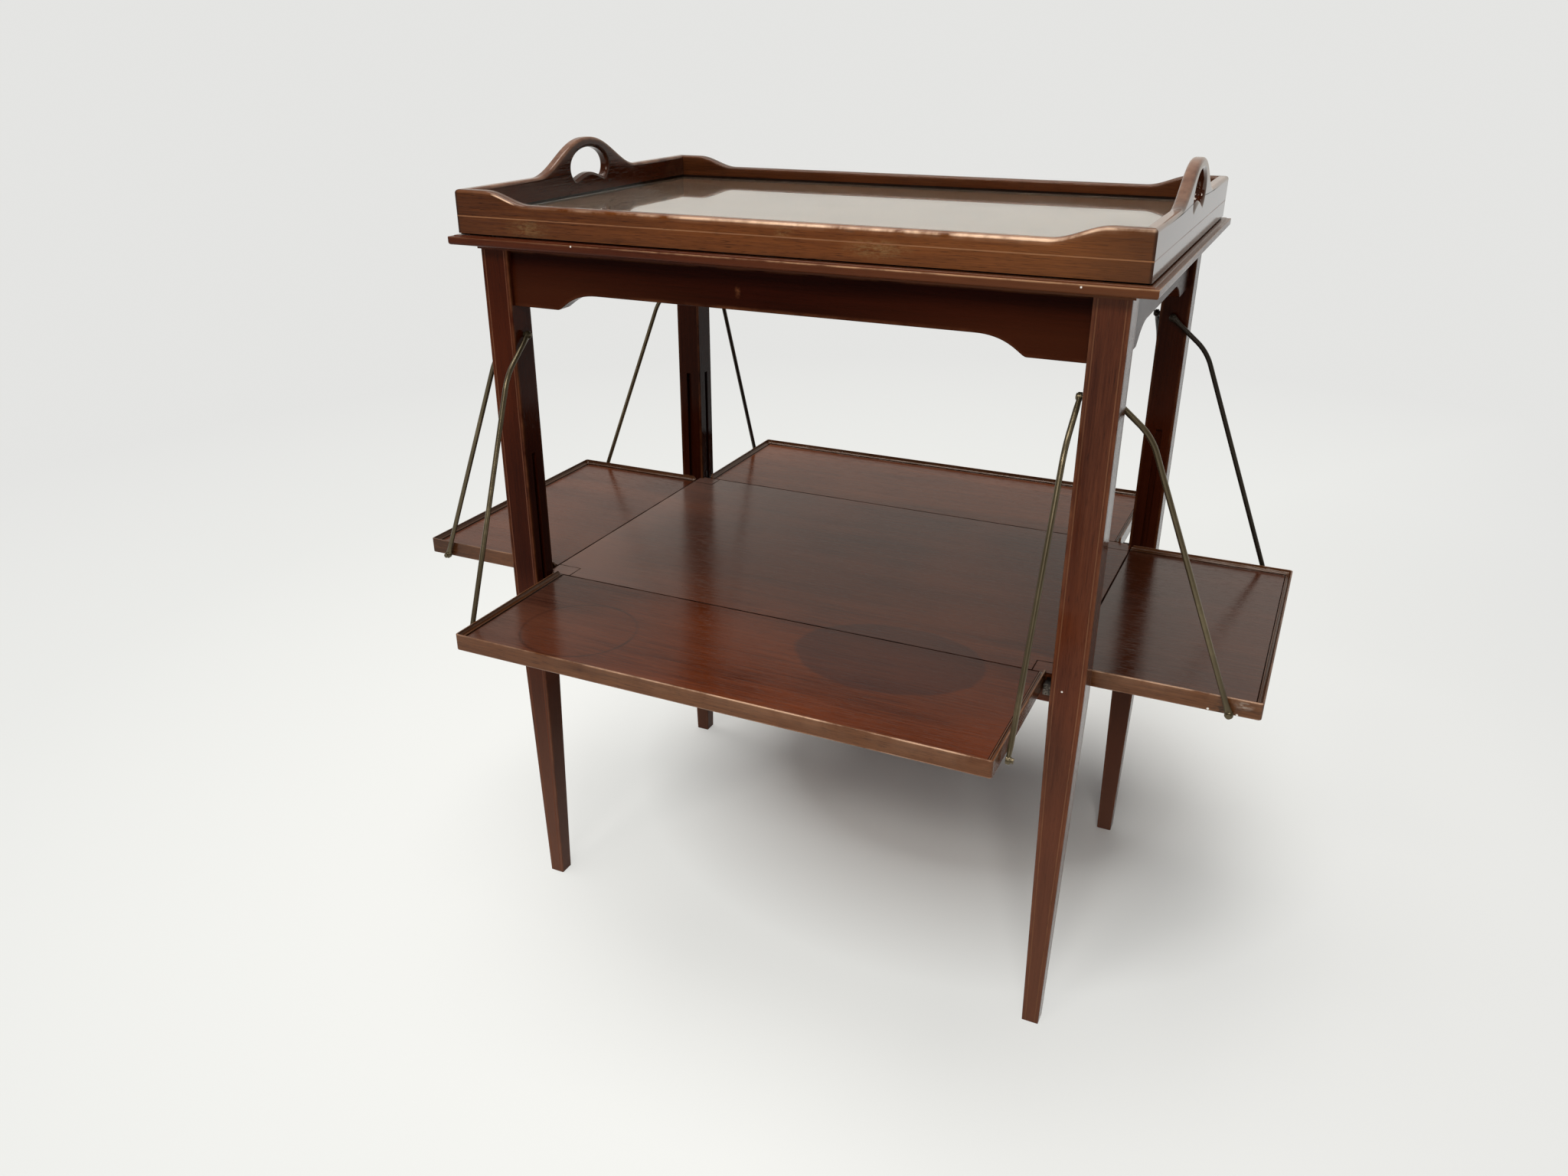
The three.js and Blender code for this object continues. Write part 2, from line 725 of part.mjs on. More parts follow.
// The rod's pivot is the origin here, and its leaf pin lies outwards and below.
function rodPoints() {
  const pivot = new THREE.Vector3(0, 0, 0);
  const corner = new THREE.Vector3(rodBendOut, 0, -rodBendDrop);
  const pivotOutset = legWidth / 2 - seamOutset;
  const pin = new THREE.Vector3(
    leafPinReach - pivotOutset,
    0,
    shelfUnderside + leafPinRise - rodPivotHeight,
  );
  return { pivot, corner, pin };
}

function rodCurve() {
  const { pivot, corner, pin } = rodPoints();
  const shortArm = corner.clone().sub(pivot).normalize();
  const longArm = pin.clone().sub(corner).normalize();
  const bend = shortArm.angleTo(longArm);
  const tangent = rodBendRadius * Math.tan(bend / 2);
  const start = corner.clone().addScaledVector(shortArm, -tangent);
  const centre = corner.clone().addScaledVector(
    longArm.clone().sub(shortArm).normalize(),
    rodBendRadius / Math.cos(bend / 2),
  );
  const spoke = start.clone().sub(centre);
  const axis = spoke.clone().cross(shortArm).normalize();
  const eyeNeck = screwHeadRadius + fitGap;
  const stations = [pivot.clone().addScaledVector(shortArm, eyeNeck)];
  for (let i = 0; i <= bendSteps; i += 1) {
    stations.push(centre.clone().add(spoke.clone().applyAxisAngle(axis, (bend * i) / bendSteps)));
  }
  return new RodCurve([...stations, pin.clone().addScaledVector(longArm, -eyeNeck)]);
}

// Cranked rod: a bent round bar flattened to an eye at each end. The lower eye holds the screw on
// which the leaf turns, with the collar that spaces the leaf on the side that faces it.
function rodGeometry() {
  const { pin } = rodPoints();
  const curve = rodCurve();
  const section = new THREE.Shape();
  section.absarc(0, 0, rodRadius, 0, 2 * Math.PI, false);
  const bar = new THREE.ExtrudeGeometry(section, {
    extrudePath: curve,
    steps: curve.stations.length - 1,
    curveSegments: rodFaces / 2,
    bevelEnabled: false,
  });
  const half = eyeThickness / 2;
  const eye = pinAlongY(eyeRadius, -half, half, 2 * screwFaces);
  const bore = boreAlongY(screwRadius + runningGap, -eyeThickness, eyeThickness, screwFaces);
  const collarEnd = leafEndGap - rodOffset - fitGap;
  const collar = pinAlongY(screwCollarRadius, -collarEnd, 0, screwFaces);
  const head = pinAlongY(screwHeadRadius, 0, half + screwHeadThickness, screwFaces);
  const lowerEye = [eye.clone(), collar, head].map((piece) => piece.translate(pin.x, 0, pin.z));
  return cut(join(bar, eye, ...lowerEye), bore);
}

// Frame
const leg = legGeometry();
corners.forEach((corner) => addPiece(table, `leg_${corner.name}`, atCorner(leg, corner), mahogany));

const longApron = apronGeometry(innerX, [-glueBlockPlaceShare, 0, glueBlockPlaceShare]);
const sideApron = apronGeometry(innerY, [0]);
for (const [name, sign, turn] of [["front", -1, 0], ["back", 1, Math.PI]]) {
  const apron = addPiece(table, `apron_${name}`, longApron, mahogany);
  apron.rotation.z = turn;
  apron.position.y = sign * apronY;
}
for (const [name, sign] of [["left", -1], ["right", 1]]) {
  const apron = addPiece(table, `apron_${name}`, sideApron, mahogany);
  apron.rotation.z = (sign * Math.PI) / 2;
  apron.position.x = sign * apronX;
}
addPiece(table, "table_top", tableTopGeometry(), mahogany);

// Tray
const trayHalfX = trayLength / 2 - boardThickness;
const trayHalfY = trayDepth / 2 - boardThickness;
const floorReach = trayRebate - fitGap;
const floorBottom = trayFloorTop - trayFloorThickness;
const tray = new THREE.Group();
table.add(tray);
addPiece(tray, "tray_floor", boxBetween(
  [-trayHalfX - floorReach, -trayHalfY - floorReach, floorBottom],
  [trayHalfX + floorReach, trayHalfY + floorReach, trayFloorTop - glueLine],
), lightMahogany);
addPiece(tray, "tray_glass", boxBetween(
  [-trayHalfX + fitGap, -trayHalfY + fitGap, trayFloorTop],
  [trayHalfX - fitGap, trayHalfY - fitGap, trayFloorTop + glassThickness],
), glass);
addPiece(tray, "tray_board_front", longBoardGeometry(), lightMahogany);
addPiece(tray, "tray_board_back", longBoardGeometry(), lightMahogany).rotation.z = Math.PI;
addPiece(tray, "tray_handle_left", handleBoardGeometry(), lightMahogany).rotation.z = -Math.PI / 2;
addPiece(tray, "tray_handle_right", handleBoardGeometry(), lightMahogany).rotation.z = Math.PI / 2;
for (const [name, sign] of [["tray_bearer_left", -1], ["tray_bearer_right", 1]]) {
  const bearer = boxBetween(
    [-bearerWidth / 2, -trayHalfY - floorReach, topHeight + fitGap],
    [bearerWidth / 2, trayHalfY + floorReach, floorBottom - glueLine],
  );
  addPiece(tray, name, bearer, plainWood).position.x = sign * (trayHalfX + floorReach - bearerWidth / 2);
}

// Shelf
const shelf = new THREE.Group();
table.add(shelf);
addPiece(shelf, "shelf_panel", shelfPanelGeometry(), mahogany);
const guideBlock = guideBlockGeometry();
const guideBracket = raised(bracketOutline(0), bracketBottom, bracketTop);
for (const corner of corners) {
  addPiece(shelf, `guide_block_${corner.name}`, atCorner(guideBlock, corner), mahogany);
  addPiece(shelf, `guide_bracket_${corner.name}`, atCorner(guideBracket, corner), iron);
}

// Leaves, their hinges and rods, each side in a group turned to face its own way
const rod = rodGeometry();
const pivotScrew = screwGeometry(
  pivotScrewDepth,
  rodOffset - eyeThickness / 2 - 2 * fitGap,
  eyeThickness + 2 * fitGap,
);
for (const side of sides) {
  const group = new THREE.Group();
  group.rotation.z = side.turn;
  table.add(group);
  addPiece(group, `leaf_panel_${side.name}`, leafPanelGeometry(side), mahogany);
  addPiece(group, `leaf_lip_${side.name}`, leafLipGeometry(side), lightMahogany);
  const leafStrip = addPiece(group, `hinge_leaf_strip_${side.name}`, leafStripGeometry(side), brass);
  leafStrip.position.set(side.seam, 0, shelfUnderside);
  const shelfStrip = addPiece(group, `hinge_shelf_strip_${side.name}`, shelfStripGeometry(side), brass);
  shelfStrip.position.set(side.seam, 0, shelfUnderside);
  side.ends.forEach((endName, i) => {
    const end = i === 0 ? -1 : 1;
    const pivotX = side.seam + legWidth / 2 - seamOutset;
    const bar = addPiece(group, `rod_${side.name}_${endName}`, rod.clone().scale(1, end, 1), brass);
    bar.position.set(pivotX, end * (side.inner - rodOffset), rodPivotHeight);
    const screw = addPiece(group, `pivot_screw_${side.name}_${endName}`, pivotScrew, brass);
    screw.rotation.z = end < 0 ? 0 : Math.PI;
    screw.position.set(pivotX, end * (side.inner - fitGap), rodPivotHeight);
  });
}

export default table;
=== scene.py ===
import json
import math

import bmesh
import bpy
import numpy as np
from mathutils import Matrix, Vector


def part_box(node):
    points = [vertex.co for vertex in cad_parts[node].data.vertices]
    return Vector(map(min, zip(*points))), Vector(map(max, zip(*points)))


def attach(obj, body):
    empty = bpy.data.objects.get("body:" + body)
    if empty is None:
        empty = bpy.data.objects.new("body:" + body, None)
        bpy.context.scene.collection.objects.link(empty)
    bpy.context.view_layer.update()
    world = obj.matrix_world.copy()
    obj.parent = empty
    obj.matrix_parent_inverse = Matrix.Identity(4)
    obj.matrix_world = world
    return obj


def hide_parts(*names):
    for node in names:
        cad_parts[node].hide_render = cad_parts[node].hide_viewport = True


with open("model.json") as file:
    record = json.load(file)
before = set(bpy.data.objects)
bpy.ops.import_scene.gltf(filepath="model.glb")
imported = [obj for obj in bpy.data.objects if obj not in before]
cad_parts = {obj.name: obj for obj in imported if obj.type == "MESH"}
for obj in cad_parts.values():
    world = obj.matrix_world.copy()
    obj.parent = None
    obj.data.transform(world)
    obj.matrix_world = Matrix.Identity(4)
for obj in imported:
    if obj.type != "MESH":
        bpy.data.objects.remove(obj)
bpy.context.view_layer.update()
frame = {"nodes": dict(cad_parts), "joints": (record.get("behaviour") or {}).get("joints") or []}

# Camera
# The table was photographed from a standing person's eye height, in front of it and a little to
# the right of its middle, with a lens that is slightly wide.
image_width = 2048
focal_pixels = 1568.9
camera_place = (0.4741, -1.1962, 0.9449)
camera_yaw = math.radians(25.573)
camera_pitch = math.radians(-25.211)
camera_roll = math.radians(-0.143)
middle_right_pixels = 16.7
middle_up_pixels = 27.8
lens = bpy.data.cameras.new("camera")
lens.sensor_fit = "HORIZONTAL"
lens.lens = lens.sensor_width * focal_pixels / image_width
camera = bpy.data.objects.new("camera", lens)
lens.shift_x = middle_right_pixels / image_width
lens.shift_y = middle_up_pixels / image_width
heading = Matrix.Rotation(camera_yaw, 4, "Z") @ Matrix.Rotation(math.pi / 2 + camera_pitch, 4, "X")
camera.matrix_world = Matrix.Translation(camera_place) @ heading @ Matrix.Rotation(camera_roll, 4, "Z")
bpy.context.scene.collection.objects.link(camera)
bpy.context.scene.camera = camera
bpy.context.scene.view_settings.view_transform = "Standard"


# Floor and light
# The floor is a pale sheet, painted darker towards the right as painted shade. Where it is seen
# directly or in reflections it glows with painted light, which keeps the table's shadow behind its
# middle, lifts it elsewhere and fades into the pale room. A ceiling panel lights the table from above,
# a soft lamp from the front, and a narrow bright one beside it gives the arrises their glints.
def add_node(tree, kind, inputs=None, **settings):
    """A shader node with its settings made and each input set to a value or joined to a socket."""
    made = tree.nodes.new(kind)
    for key, value in settings.items():
        setattr(made, key, value)
    for key, value in (inputs or {}).items():
        if isinstance(value, bpy.types.NodeSocket):
            tree.links.new(value, made.inputs[key])
        else:
            made.inputs[key].default_value = value
    return made


def math_node(tree, operation, first, second=0.0, clamp=False):
    """The output of a Math node: the operation on the two values."""
    made = add_node(tree, "ShaderNodeMath", {0: first, 1: second}, operation=operation, use_clamp=clamp)
    return made.outputs[0]


def multiply(tree, first, second, clamp=False):
    """The product of two values."""
    return math_node(tree, "MULTIPLY", first, second, clamp)


def subtract(tree, first, second):
    """The first value less the second."""
    return math_node(tree, "SUBTRACT", first, second)


def vector_node(tree, operation, first, second=(0, 0, 0), output=0):
    """The output of a Vector Math node: a vector, or the "Value" of a length or a distance."""
    made = add_node(tree, "ShaderNodeVectorMath", {0: first, 1: second}, operation=operation)
    return made.outputs[output]


def noise_node(tree, vector, scale, detail, roughness=0.5, distortion=0.0):
    """The grey output of a Noise texture over a vector."""
    made = add_node(tree, "ShaderNodeTexNoise", {
        "Vector": vector, "Scale": scale, "Detail": detail, "Roughness": roughness, "Distortion": distortion,
    })
    return made.outputs["Fac"]


def object_place(tree):
    """The point in the object's own coordinates, and its X, Y and Z."""
    spot = add_node(tree, "ShaderNodeTexCoord").outputs["Object"]
    return spot, add_node(tree, "ShaderNodeSeparateXYZ", {"Vector": spot}).outputs


def mix_colour(tree, share, first, second, blend="MIX"):
    """The output of a colour Mix node: the first colour at share 0, the second at share 1."""
    colours = {0: share, 6: first, 7: second}
    return add_node(tree, "ShaderNodeMix", colours, data_type="RGBA", blend_type=blend).outputs[2]


def remap(tree, value, from_low, from_high, to_low=0.0, to_high=1.0):
    """A value carried evenly from one range to another, and held at the ends."""
    made = add_node(tree, "ShaderNodeMapRange", {
        "Value": value, "From Min": from_low, "From Max": from_high, "To Min": to_low, "To Max": to_high,
    })
    return made.outputs["Result"]


def new_material(name):
    """An empty node material: its tree, and its Principled BSDF joined to its output."""
    material = bpy.data.materials.new(name)
    material.use_nodes = True
    tree = material.node_tree
    tree.nodes.clear()
    shader = add_node(tree, "ShaderNodeBsdfPrincipled")
    add_node(tree, "ShaderNodeOutputMaterial", {"Surface": shader.outputs["BSDF"]})
    return material, tree, shader


room_pale = (0.78, 0.78, 0.765, 1)
floor_half = 9.0
floor_colour = (0.87, 0.87, 0.845, 1)
floor_faint = (0.84, 0.84, 0.815, 1)
floor_right_shade = (0.77, 0.775, 0.75, 1)
glow_left = (0.86, 0.865, 0.835, 1)
shadow_middle = (0.1, 0.3, 0)
shadow_inner, shadow_outer = 0.27, 0.5
shadow_glow = 0.7
glow_inner, glow_outer = 0.6, 1.5
pale_inner, pale_outer = 0.9, 2.5
floor_mesh = bpy.data.meshes.new("floor")
floor_corners = [(x * floor_half, y * floor_half, 0) for x, y in ((-1, -1), (1, -1), (1, 1), (-1, 1))]
floor_mesh.from_pydata(floor_corners, [], [(0, 1, 2, 3)])
floor = bpy.data.objects.new("floor", floor_mesh)
bpy.context.scene.collection.objects.link(floor)
floor_material, tree, shader = new_material("pale_floor")
spot, place = object_place(tree)
rightwards = remap(tree, place["X"], 0.1, 1.0)
cloud = noise_node(tree, spot, 1.7, 3.0)
pale = mix_colour(tree, cloud, floor_faint, floor_colour)
# Painted shade: the floor is painted darker towards the right.
pale = mix_colour(tree, rightwards, pale, floor_right_shade)
tree.links.new(pale, shader.inputs["Base Color"])
shader.inputs["Roughness"].default_value = 0.75
shader.inputs["Specular IOR Level"].default_value = 0.2
# Painted light: where camera, glossy and transmission rays see it, the floor glows, lifting its shadow except
# near the shadow's middle, and fades into the pale room at a distance.
away = vector_node(tree, "DISTANCE", spot, shadow_middle, "Value")
near_glow = remap(tree, away, shadow_inner, shadow_outer, 0.0, shadow_glow)
far_glow = remap(tree, away, glow_inner, glow_outer, 0.0, 1.0 - shadow_glow)
faded = math_node(tree, "ADD", near_glow, far_glow)
glow_pale_share = math_node(tree, "MAXIMUM", rightwards, remap(tree, away, pale_inner, pale_outer))
glow_colour = mix_colour(tree, glow_pale_share, glow_left, room_pale)
ray = add_node(tree, "ShaderNodeLightPath")
seen_ray = math_node(tree, "MAXIMUM", ray.outputs["Is Camera Ray"], ray.outputs["Is Glossy Ray"])
seen_ray = math_node(tree, "MAXIMUM", seen_ray, ray.outputs["Is Transmission Ray"])
painted_glow = add_node(tree, "ShaderNodeEmission", {"Color": glow_colour, "Strength": 1.0})
glow_amount = multiply(tree, faded, seen_ray)
surface = add_node(tree, "ShaderNodeMixShader", {0: glow_amount, 1: shader.outputs[0], 2: painted_glow.outputs[0]})
tree.links.new(surface.outputs[0], tree.nodes["Material Output"].inputs["Surface"])
floor_mesh.materials.append(floor_material)


def add_lamp(name, place, target, width, height, power, colour):
    """A flat rectangular lamp at a place, turned to face its target."""
    lamp = bpy.data.lights.new(name, "AREA")
    lamp.shape = "RECTANGLE"
    lamp.size = width
    lamp.size_y = height
    lamp.energy = power
    lamp.color = colour
    made = bpy.data.objects.new(name, lamp)
    made.location = place
    made.rotation_euler = (Vector(target) - Vector(place)).to_track_quat("-Z", "Y").to_euler()
    bpy.context.scene.collection.objects.link(made)


table_middle = (0, 0, 0.5)
add_lamp("front_lamp", (1.1, -4.9, 4.1), table_middle, 2.2, 1.8, 160, (1.0, 0.985, 0.96))
add_lamp("window_lamp", (-1.4, -4.2, 3.6), table_middle, 1.3, 0.45, 48, (1.0, 0.97, 0.93))
add_lamp("ceiling_lamp", (-0.9, -0.3, 5.2), (0, 0, 0), 3.4, 3.4, 262, (1.0, 0.99, 0.975))

room_front = (0.10, 0.095, 0.09, 1)
room_shade = (0.95, 0.97, 1.0, 1)
room_mirrored = (0.74, 0.71, 0.655, 1)
room_shade_strength = 0.12
world = bpy.data.worlds.new("room")
bpy.context.scene.world = world
world.use_nodes = True
tree = world.node_tree
tree.nodes.clear()
direction = add_node(tree, "ShaderNodeTexCoord").outputs["Generated"]
parts = add_node(tree, "ShaderNodeSeparateXYZ", {"Vector": direction})
towards_back = remap(tree, parts.outputs["Y"], -0.45, 0.15)
ray = add_node(tree, "ShaderNodeLightPath")
mirrored = mix_colour(tree, towards_back, room_front, room_mirrored)
seen_colour = mix_colour(tree, ray.outputs["Is Glossy Ray"], room_pale, mirrored)
seen = add_node(tree, "ShaderNodeBackground", {"Color": seen_colour, "Strength": 1.0})
shade = add_node(tree, "ShaderNodeBackground", {"Color": room_shade, "Strength": room_shade_strength})
shown = math_node(tree, "MAXIMUM", ray.outputs["Is Camera Ray"], ray.outputs["Is Glossy Ray"])
shown = math_node(tree, "MAXIMUM", shown, ray.outputs["Is Transmission Ray"])
both = add_node(tree, "ShaderNodeMixShader", {0: shown, 1: shade.outputs[0], 2: seen.outputs[0]})
add_node(tree, "ShaderNodeOutputWorld", {"Surface": both.outputs[0]})


# Legs
# Four mahogany legs, square above the shelf and tapered on all faces below it. Both inner faces
# of each are slotted for the shelf's guides, and both outer faces are strung near each arris.
def eased(corners, radius, steps=4, fade=0.0025):
    """Closed outlines with soft corners.

    Each corner gives a parabolic arc that starts and ends a radius away along its two sides, and
    a further point on either side of it. The second array is the wear of each point: 1 along the
    arc and 0 on the points beside it.
    """
    corners = np.asarray(corners, float)
    radius = np.broadcast_to(np.asarray(radius, float), corners.shape[:-1])[..., None]
    back = np.roll(corners, 1, -2) - corners
    ahead = np.roll(corners, -1, -2) - corners
    back = back / np.linalg.norm(back, axis=-1, keepdims=True)
    ahead = ahead / np.linalg.norm(ahead, axis=-1, keepdims=True)
    start = (corners + back * radius)[..., None, :]
    end = (corners + ahead * radius)[..., None, :]
    share = np.linspace(0, 1, steps + 1)[:, None]
    arc = (1 - share) ** 2 * start + 2 * share * (1 - share) * corners[..., None, :] + share ** 2 * end
    before = (corners + back * (radius + fade))[..., None, :]
    after = (corners + ahead * (radius + fade))[..., None, :]
    points = np.concatenate([before, arc, after], -2)
    wear = np.ones(points.shape[:-1])
    wear[..., 0] = 0
    wear[..., -1] = 0
    flat = corners.shape[:-2] + (-1,)
    return points.reshape(flat + (2,)), wear.reshape(flat)


def skin(rings, wear=0.0):
    """A closed shell over a grid of closed rings: quads from ring to ring and a flat cap on each end."""
    rings = np.asarray(rings, float)
    count, size = rings.shape[:2]
    ring, point = np.meshgrid(np.arange(count - 1), np.arange(size), indexing="ij")
    here, beside = ring * size + point, ring * size + (point + 1) % size
    quads = np.stack([here, beside, beside + size, here + size], -1).reshape(-1, 4)
    caps = [list(range(size))[::-1], list(range((count - 1) * size, count * size))]
    wear = np.broadcast_to(wear, (count, size)).reshape(-1)
    return rings.reshape(-1, 3), quads.tolist() + caps, wear


def new_object(name, mesh, material):
    """An object in the scene from a mesh, smooth shaded and of one material."""
    mesh.polygons.foreach_set("use_smooth", [True] * len(mesh.polygons))
    mesh.materials.append(material)
    made = bpy.data.objects.new(name, mesh)
    bpy.context.scene.collection.objects.link(made)
    return made


def make_piece(name, shells, body, material, replaced=(), sharp=32):
    """One object from closed shells of points, faces and wear, riding on a body.

    Doubles are merged and the faces turned outwards, edges sharper than the angle stay sharp, and
    the wear becomes the point attribute that the wood materials read.
    """
    faces = []
    start = 0
    for points, shell, _ in shells:
        faces += [[start + corner for corner in face] for face in shell]
        start += len(points)
    mesh = bpy.data.meshes.new(name)
    mesh.from_pydata(np.concatenate([points for points, _, _ in shells]).tolist(), [], faces)
    attribute = mesh.attributes.new("wear", "FLOAT", "POINT")
    attribute.data.foreach_set("value", np.concatenate([wear for _, _, wear in shells]).astype(np.float32))
    merge_distance = 1e-6
    work = bmesh.new()
    work.from_mesh(mesh)
    bmesh.ops.remove_doubles(work, verts=work.verts, dist=merge_distance)
    bmesh.ops.dissolve_degenerate(work, dist=merge_distance, edges=work.edges)
    bmesh.ops.recalc_face_normals(work, faces=work.faces)
    work.to_mesh(mesh)
    work.free()
    piece = new_object(name, mesh, material)
    mesh.set_sharp_from_angle(angle=math.radians(sharp))
    shading = piece.modifiers.new("flat_faces_stay_flat", "WEIGHTED_NORMAL")
    shading.keep_sharp = True
    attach(piece, body)
    if replaced:
        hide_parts(*replaced)
    return piece


def new_group(name, inputs, outputs):
    """An empty shader node group with named sockets: its tree, its inputs seen inside, its output node."""
    tree = bpy.data.node_groups.new(name, "ShaderNodeTree")
    kinds = {"vector": "NodeSocketVector", "colour": "NodeSocketColor", "value": "NodeSocketFloat"}
    for socket, kind in inputs.items():
        tree.interface.new_socket(socket, in_out="INPUT", socket_type=kinds[kind])
    for socket, kind in outputs.items():
        tree.interface.new_socket(socket, in_out="OUTPUT", socket_type=kinds[kind])
    inside = tree.nodes.new("NodeGroupInput").outputs
    return tree, inside, tree.nodes.new("NodeGroupOutput")


def use_group(tree, group, inputs):
    """The outputs of a node group placed in a material with its own values."""
    return add_node(tree, "ShaderNodeGroup", inputs, node_tree=group).outputs


def stretched_noise(tree, vector, scale, detail, roughness=0.55, distortion=0.0):
    """Noise whose pattern is drawn out by a different scale on each axis."""
    stretched = add_node(tree, "ShaderNodeMapping", {"Vector": vector, "Scale": scale}).outputs[0]
    return noise_node(tree, stretched, 1.0, detail, roughness, distortion)


# Mahogany with its fibres along X: broad ribbons, fine streaks, short dark pores and slow
# changes of tone. Height is the relief of streaks and pores.
pore_colour = (0.006, 0.002, 0.001, 1)
grain_group, inside, outside = new_group(
    "mahogany_grain",
    {
        "Along": "vector", "Dark": "colour", "Light": "colour", "Warm": "colour",
        "Ribbon": "value", "Pores": "value",
    },
    {"Color": "colour", "Height": "value"},
)
ribbon = stretched_noise(grain_group, inside["Along"], (1.9, 30, 30), 3.0, 0.5, 0.35)
streak = stretched_noise(grain_group, inside["Along"], (9, 330, 330), 4.0, 0.65)
fine = stretched_noise(grain_group, inside["Along"], (26, 1100, 1100), 3.0, 0.6)
pore = stretched_noise(grain_group, inside["Along"], (75, 2300, 2300), 1.0)
tone = noise_node(grain_group, inside["Along"], 5.5, 2.0)
ribbon = remap(grain_group, ribbon, 0.32, 0.68)
streak = remap(grain_group, streak, 0.36, 0.64)
fine = remap(grain_group, fine, 0.36, 0.64)
pore = remap(grain_group, pore, 0.6, 0.72)
figure = multiply(grain_group, ribbon, inside["Ribbon"])
plain = subtract(grain_group, 1.0, inside["Ribbon"])
streaks = math_node(grain_group, "ADD", multiply(grain_group, streak, 0.6), multiply(grain_group, fine, 0.4))
figure = math_node(grain_group, "ADD", figure, multiply(grain_group, streaks, plain))
wood_colour = mix_colour(grain_group, figure, inside["Dark"], inside["Light"])
warm_share = multiply(grain_group, remap(grain_group, tone, 0.4, 0.66), 0.55)
wood_colour = mix_colour(grain_group, warm_share, wood_colour, inside["Warm"])
pore_share = multiply(grain_group, pore, inside["Pores"])
wood_colour = mix_colour(grain_group, pore_share, wood_colour, pore_colour)
grain_group.links.new(wood_colour, outside.inputs["Color"])
relief = subtract(grain_group, streaks, multiply(grain_group, pore, 0.8))
grain_group.links.new(relief, outside.inputs["Height"])

# Wear and painted light: the arrises are painted pale where the noise allows it, which is rubbed
# polish, and in some materials a painted highlight too. The hollows, whose wear is below 0, are painted dark
# as painted shade.
hollow_shade_colour = (0.006, 0.002, 0.001, 1)
arris_group, inside, outside = new_group(
    "arris_wear_and_light",
    {"Where": "vector", "Color": "colour", "Bare": "colour", "Arris": "value", "Amount": "value"},
    {"Color": "colour"},
)
broken = noise_node(arris_group, inside["Where"], 28.0, 4.0, 0.62)
rubbed = multiply(arris_group, remap(arris_group, broken, 0.34, 0.62), inside["Arris"])
rubbed = multiply(arris_group, rubbed, inside["Amount"], clamp=True)
arris_colour = mix_colour(arris_group, rubbed, inside["Color"], inside["Bare"])
hollow = multiply(arris_group, inside["Arris"], -1.0, clamp=True)
hollow_shading = multiply(arris_group, hollow, remap(arris_group, broken, 0.3, 0.55, 0.65, 1.0))
arris_group.links.new(mix_colour(arris_group, hollow_shading, arris_colour, hollow_shade_colour), outside.inputs["Color"])

# Polish: how dull the surface is, from slow smears and fine handling marks.
polish_group, inside, outside = new_group(
    "hand_polish", {"Where": "vector", "Glossy": "value", "Dull": "value"}, {"Roughness": "value"},
)
smear = noise_node(polish_group, inside["Where"], 7.0, 5.0, 0.68)
smear = remap(polish_group, smear, 0.35, 0.7)
span = subtract(polish_group, inside["Dull"], inside["Glossy"])
dullness = math_node(polish_group, "ADD", inside["Glossy"], multiply(polish_group, smear, span))
polish_group.links.new(dullness, outside.inputs["Roughness"])

# A patch: a scuff or a stain, elliptical about a centre and broken up by noise.
patch_group, inside, outside = new_group(
    "broken_patch",
    {
        "Where": "vector", "Centre": "vector", "Reach": "vector",
        "Color": "colour", "Paint": "colour", "Share": "value",
    },
    {"Color": "colour"},
)
away = vector_node(patch_group, "SUBTRACT", inside["Where"], inside["Centre"])
away = vector_node(patch_group, "DIVIDE", away, inside["Reach"])
away = vector_node(patch_group, "LENGTH", away, output="Value")
scuffed = stretched_noise(patch_group, inside["Where"], (170, 170, 420), 4.0, 0.7)
scuffed = remap(patch_group, scuffed, 0.4, 0.62)
scuffed = multiply(patch_group, remap(patch_group, away, 0.25, 1.0, 1.0, 0.0), scuffed)
scuffed = multiply(patch_group, scuffed, inside["Share"])
scuffed_colour = mix_colour(patch_group, scuffed, inside["Color"], inside["Paint"])
patch_group.links.new(scuffed_colour, outside.inputs["Color"])


def add_specks(tree, shader, colour, places, paint, radius):
    """Lays flecks of paint, small balls of colour about places on a surface, over a colour."""
    spot = object_place(tree)[0]
    for place in places:
        away = vector_node(tree, "DISTANCE", spot, place, "Value")
        colour = mix_colour(tree, remap(tree, away, 0.6 * radius, radius, 1.0, 0.0), colour, paint)
    tree.links.new(colour, shader.inputs["Base Color"])


relief_depth = 0.0002
along_x = (0, 0, 0)
along_y = (0, 0, -math.pi / 2)
along_z = (0, math.pi / 2, 0)


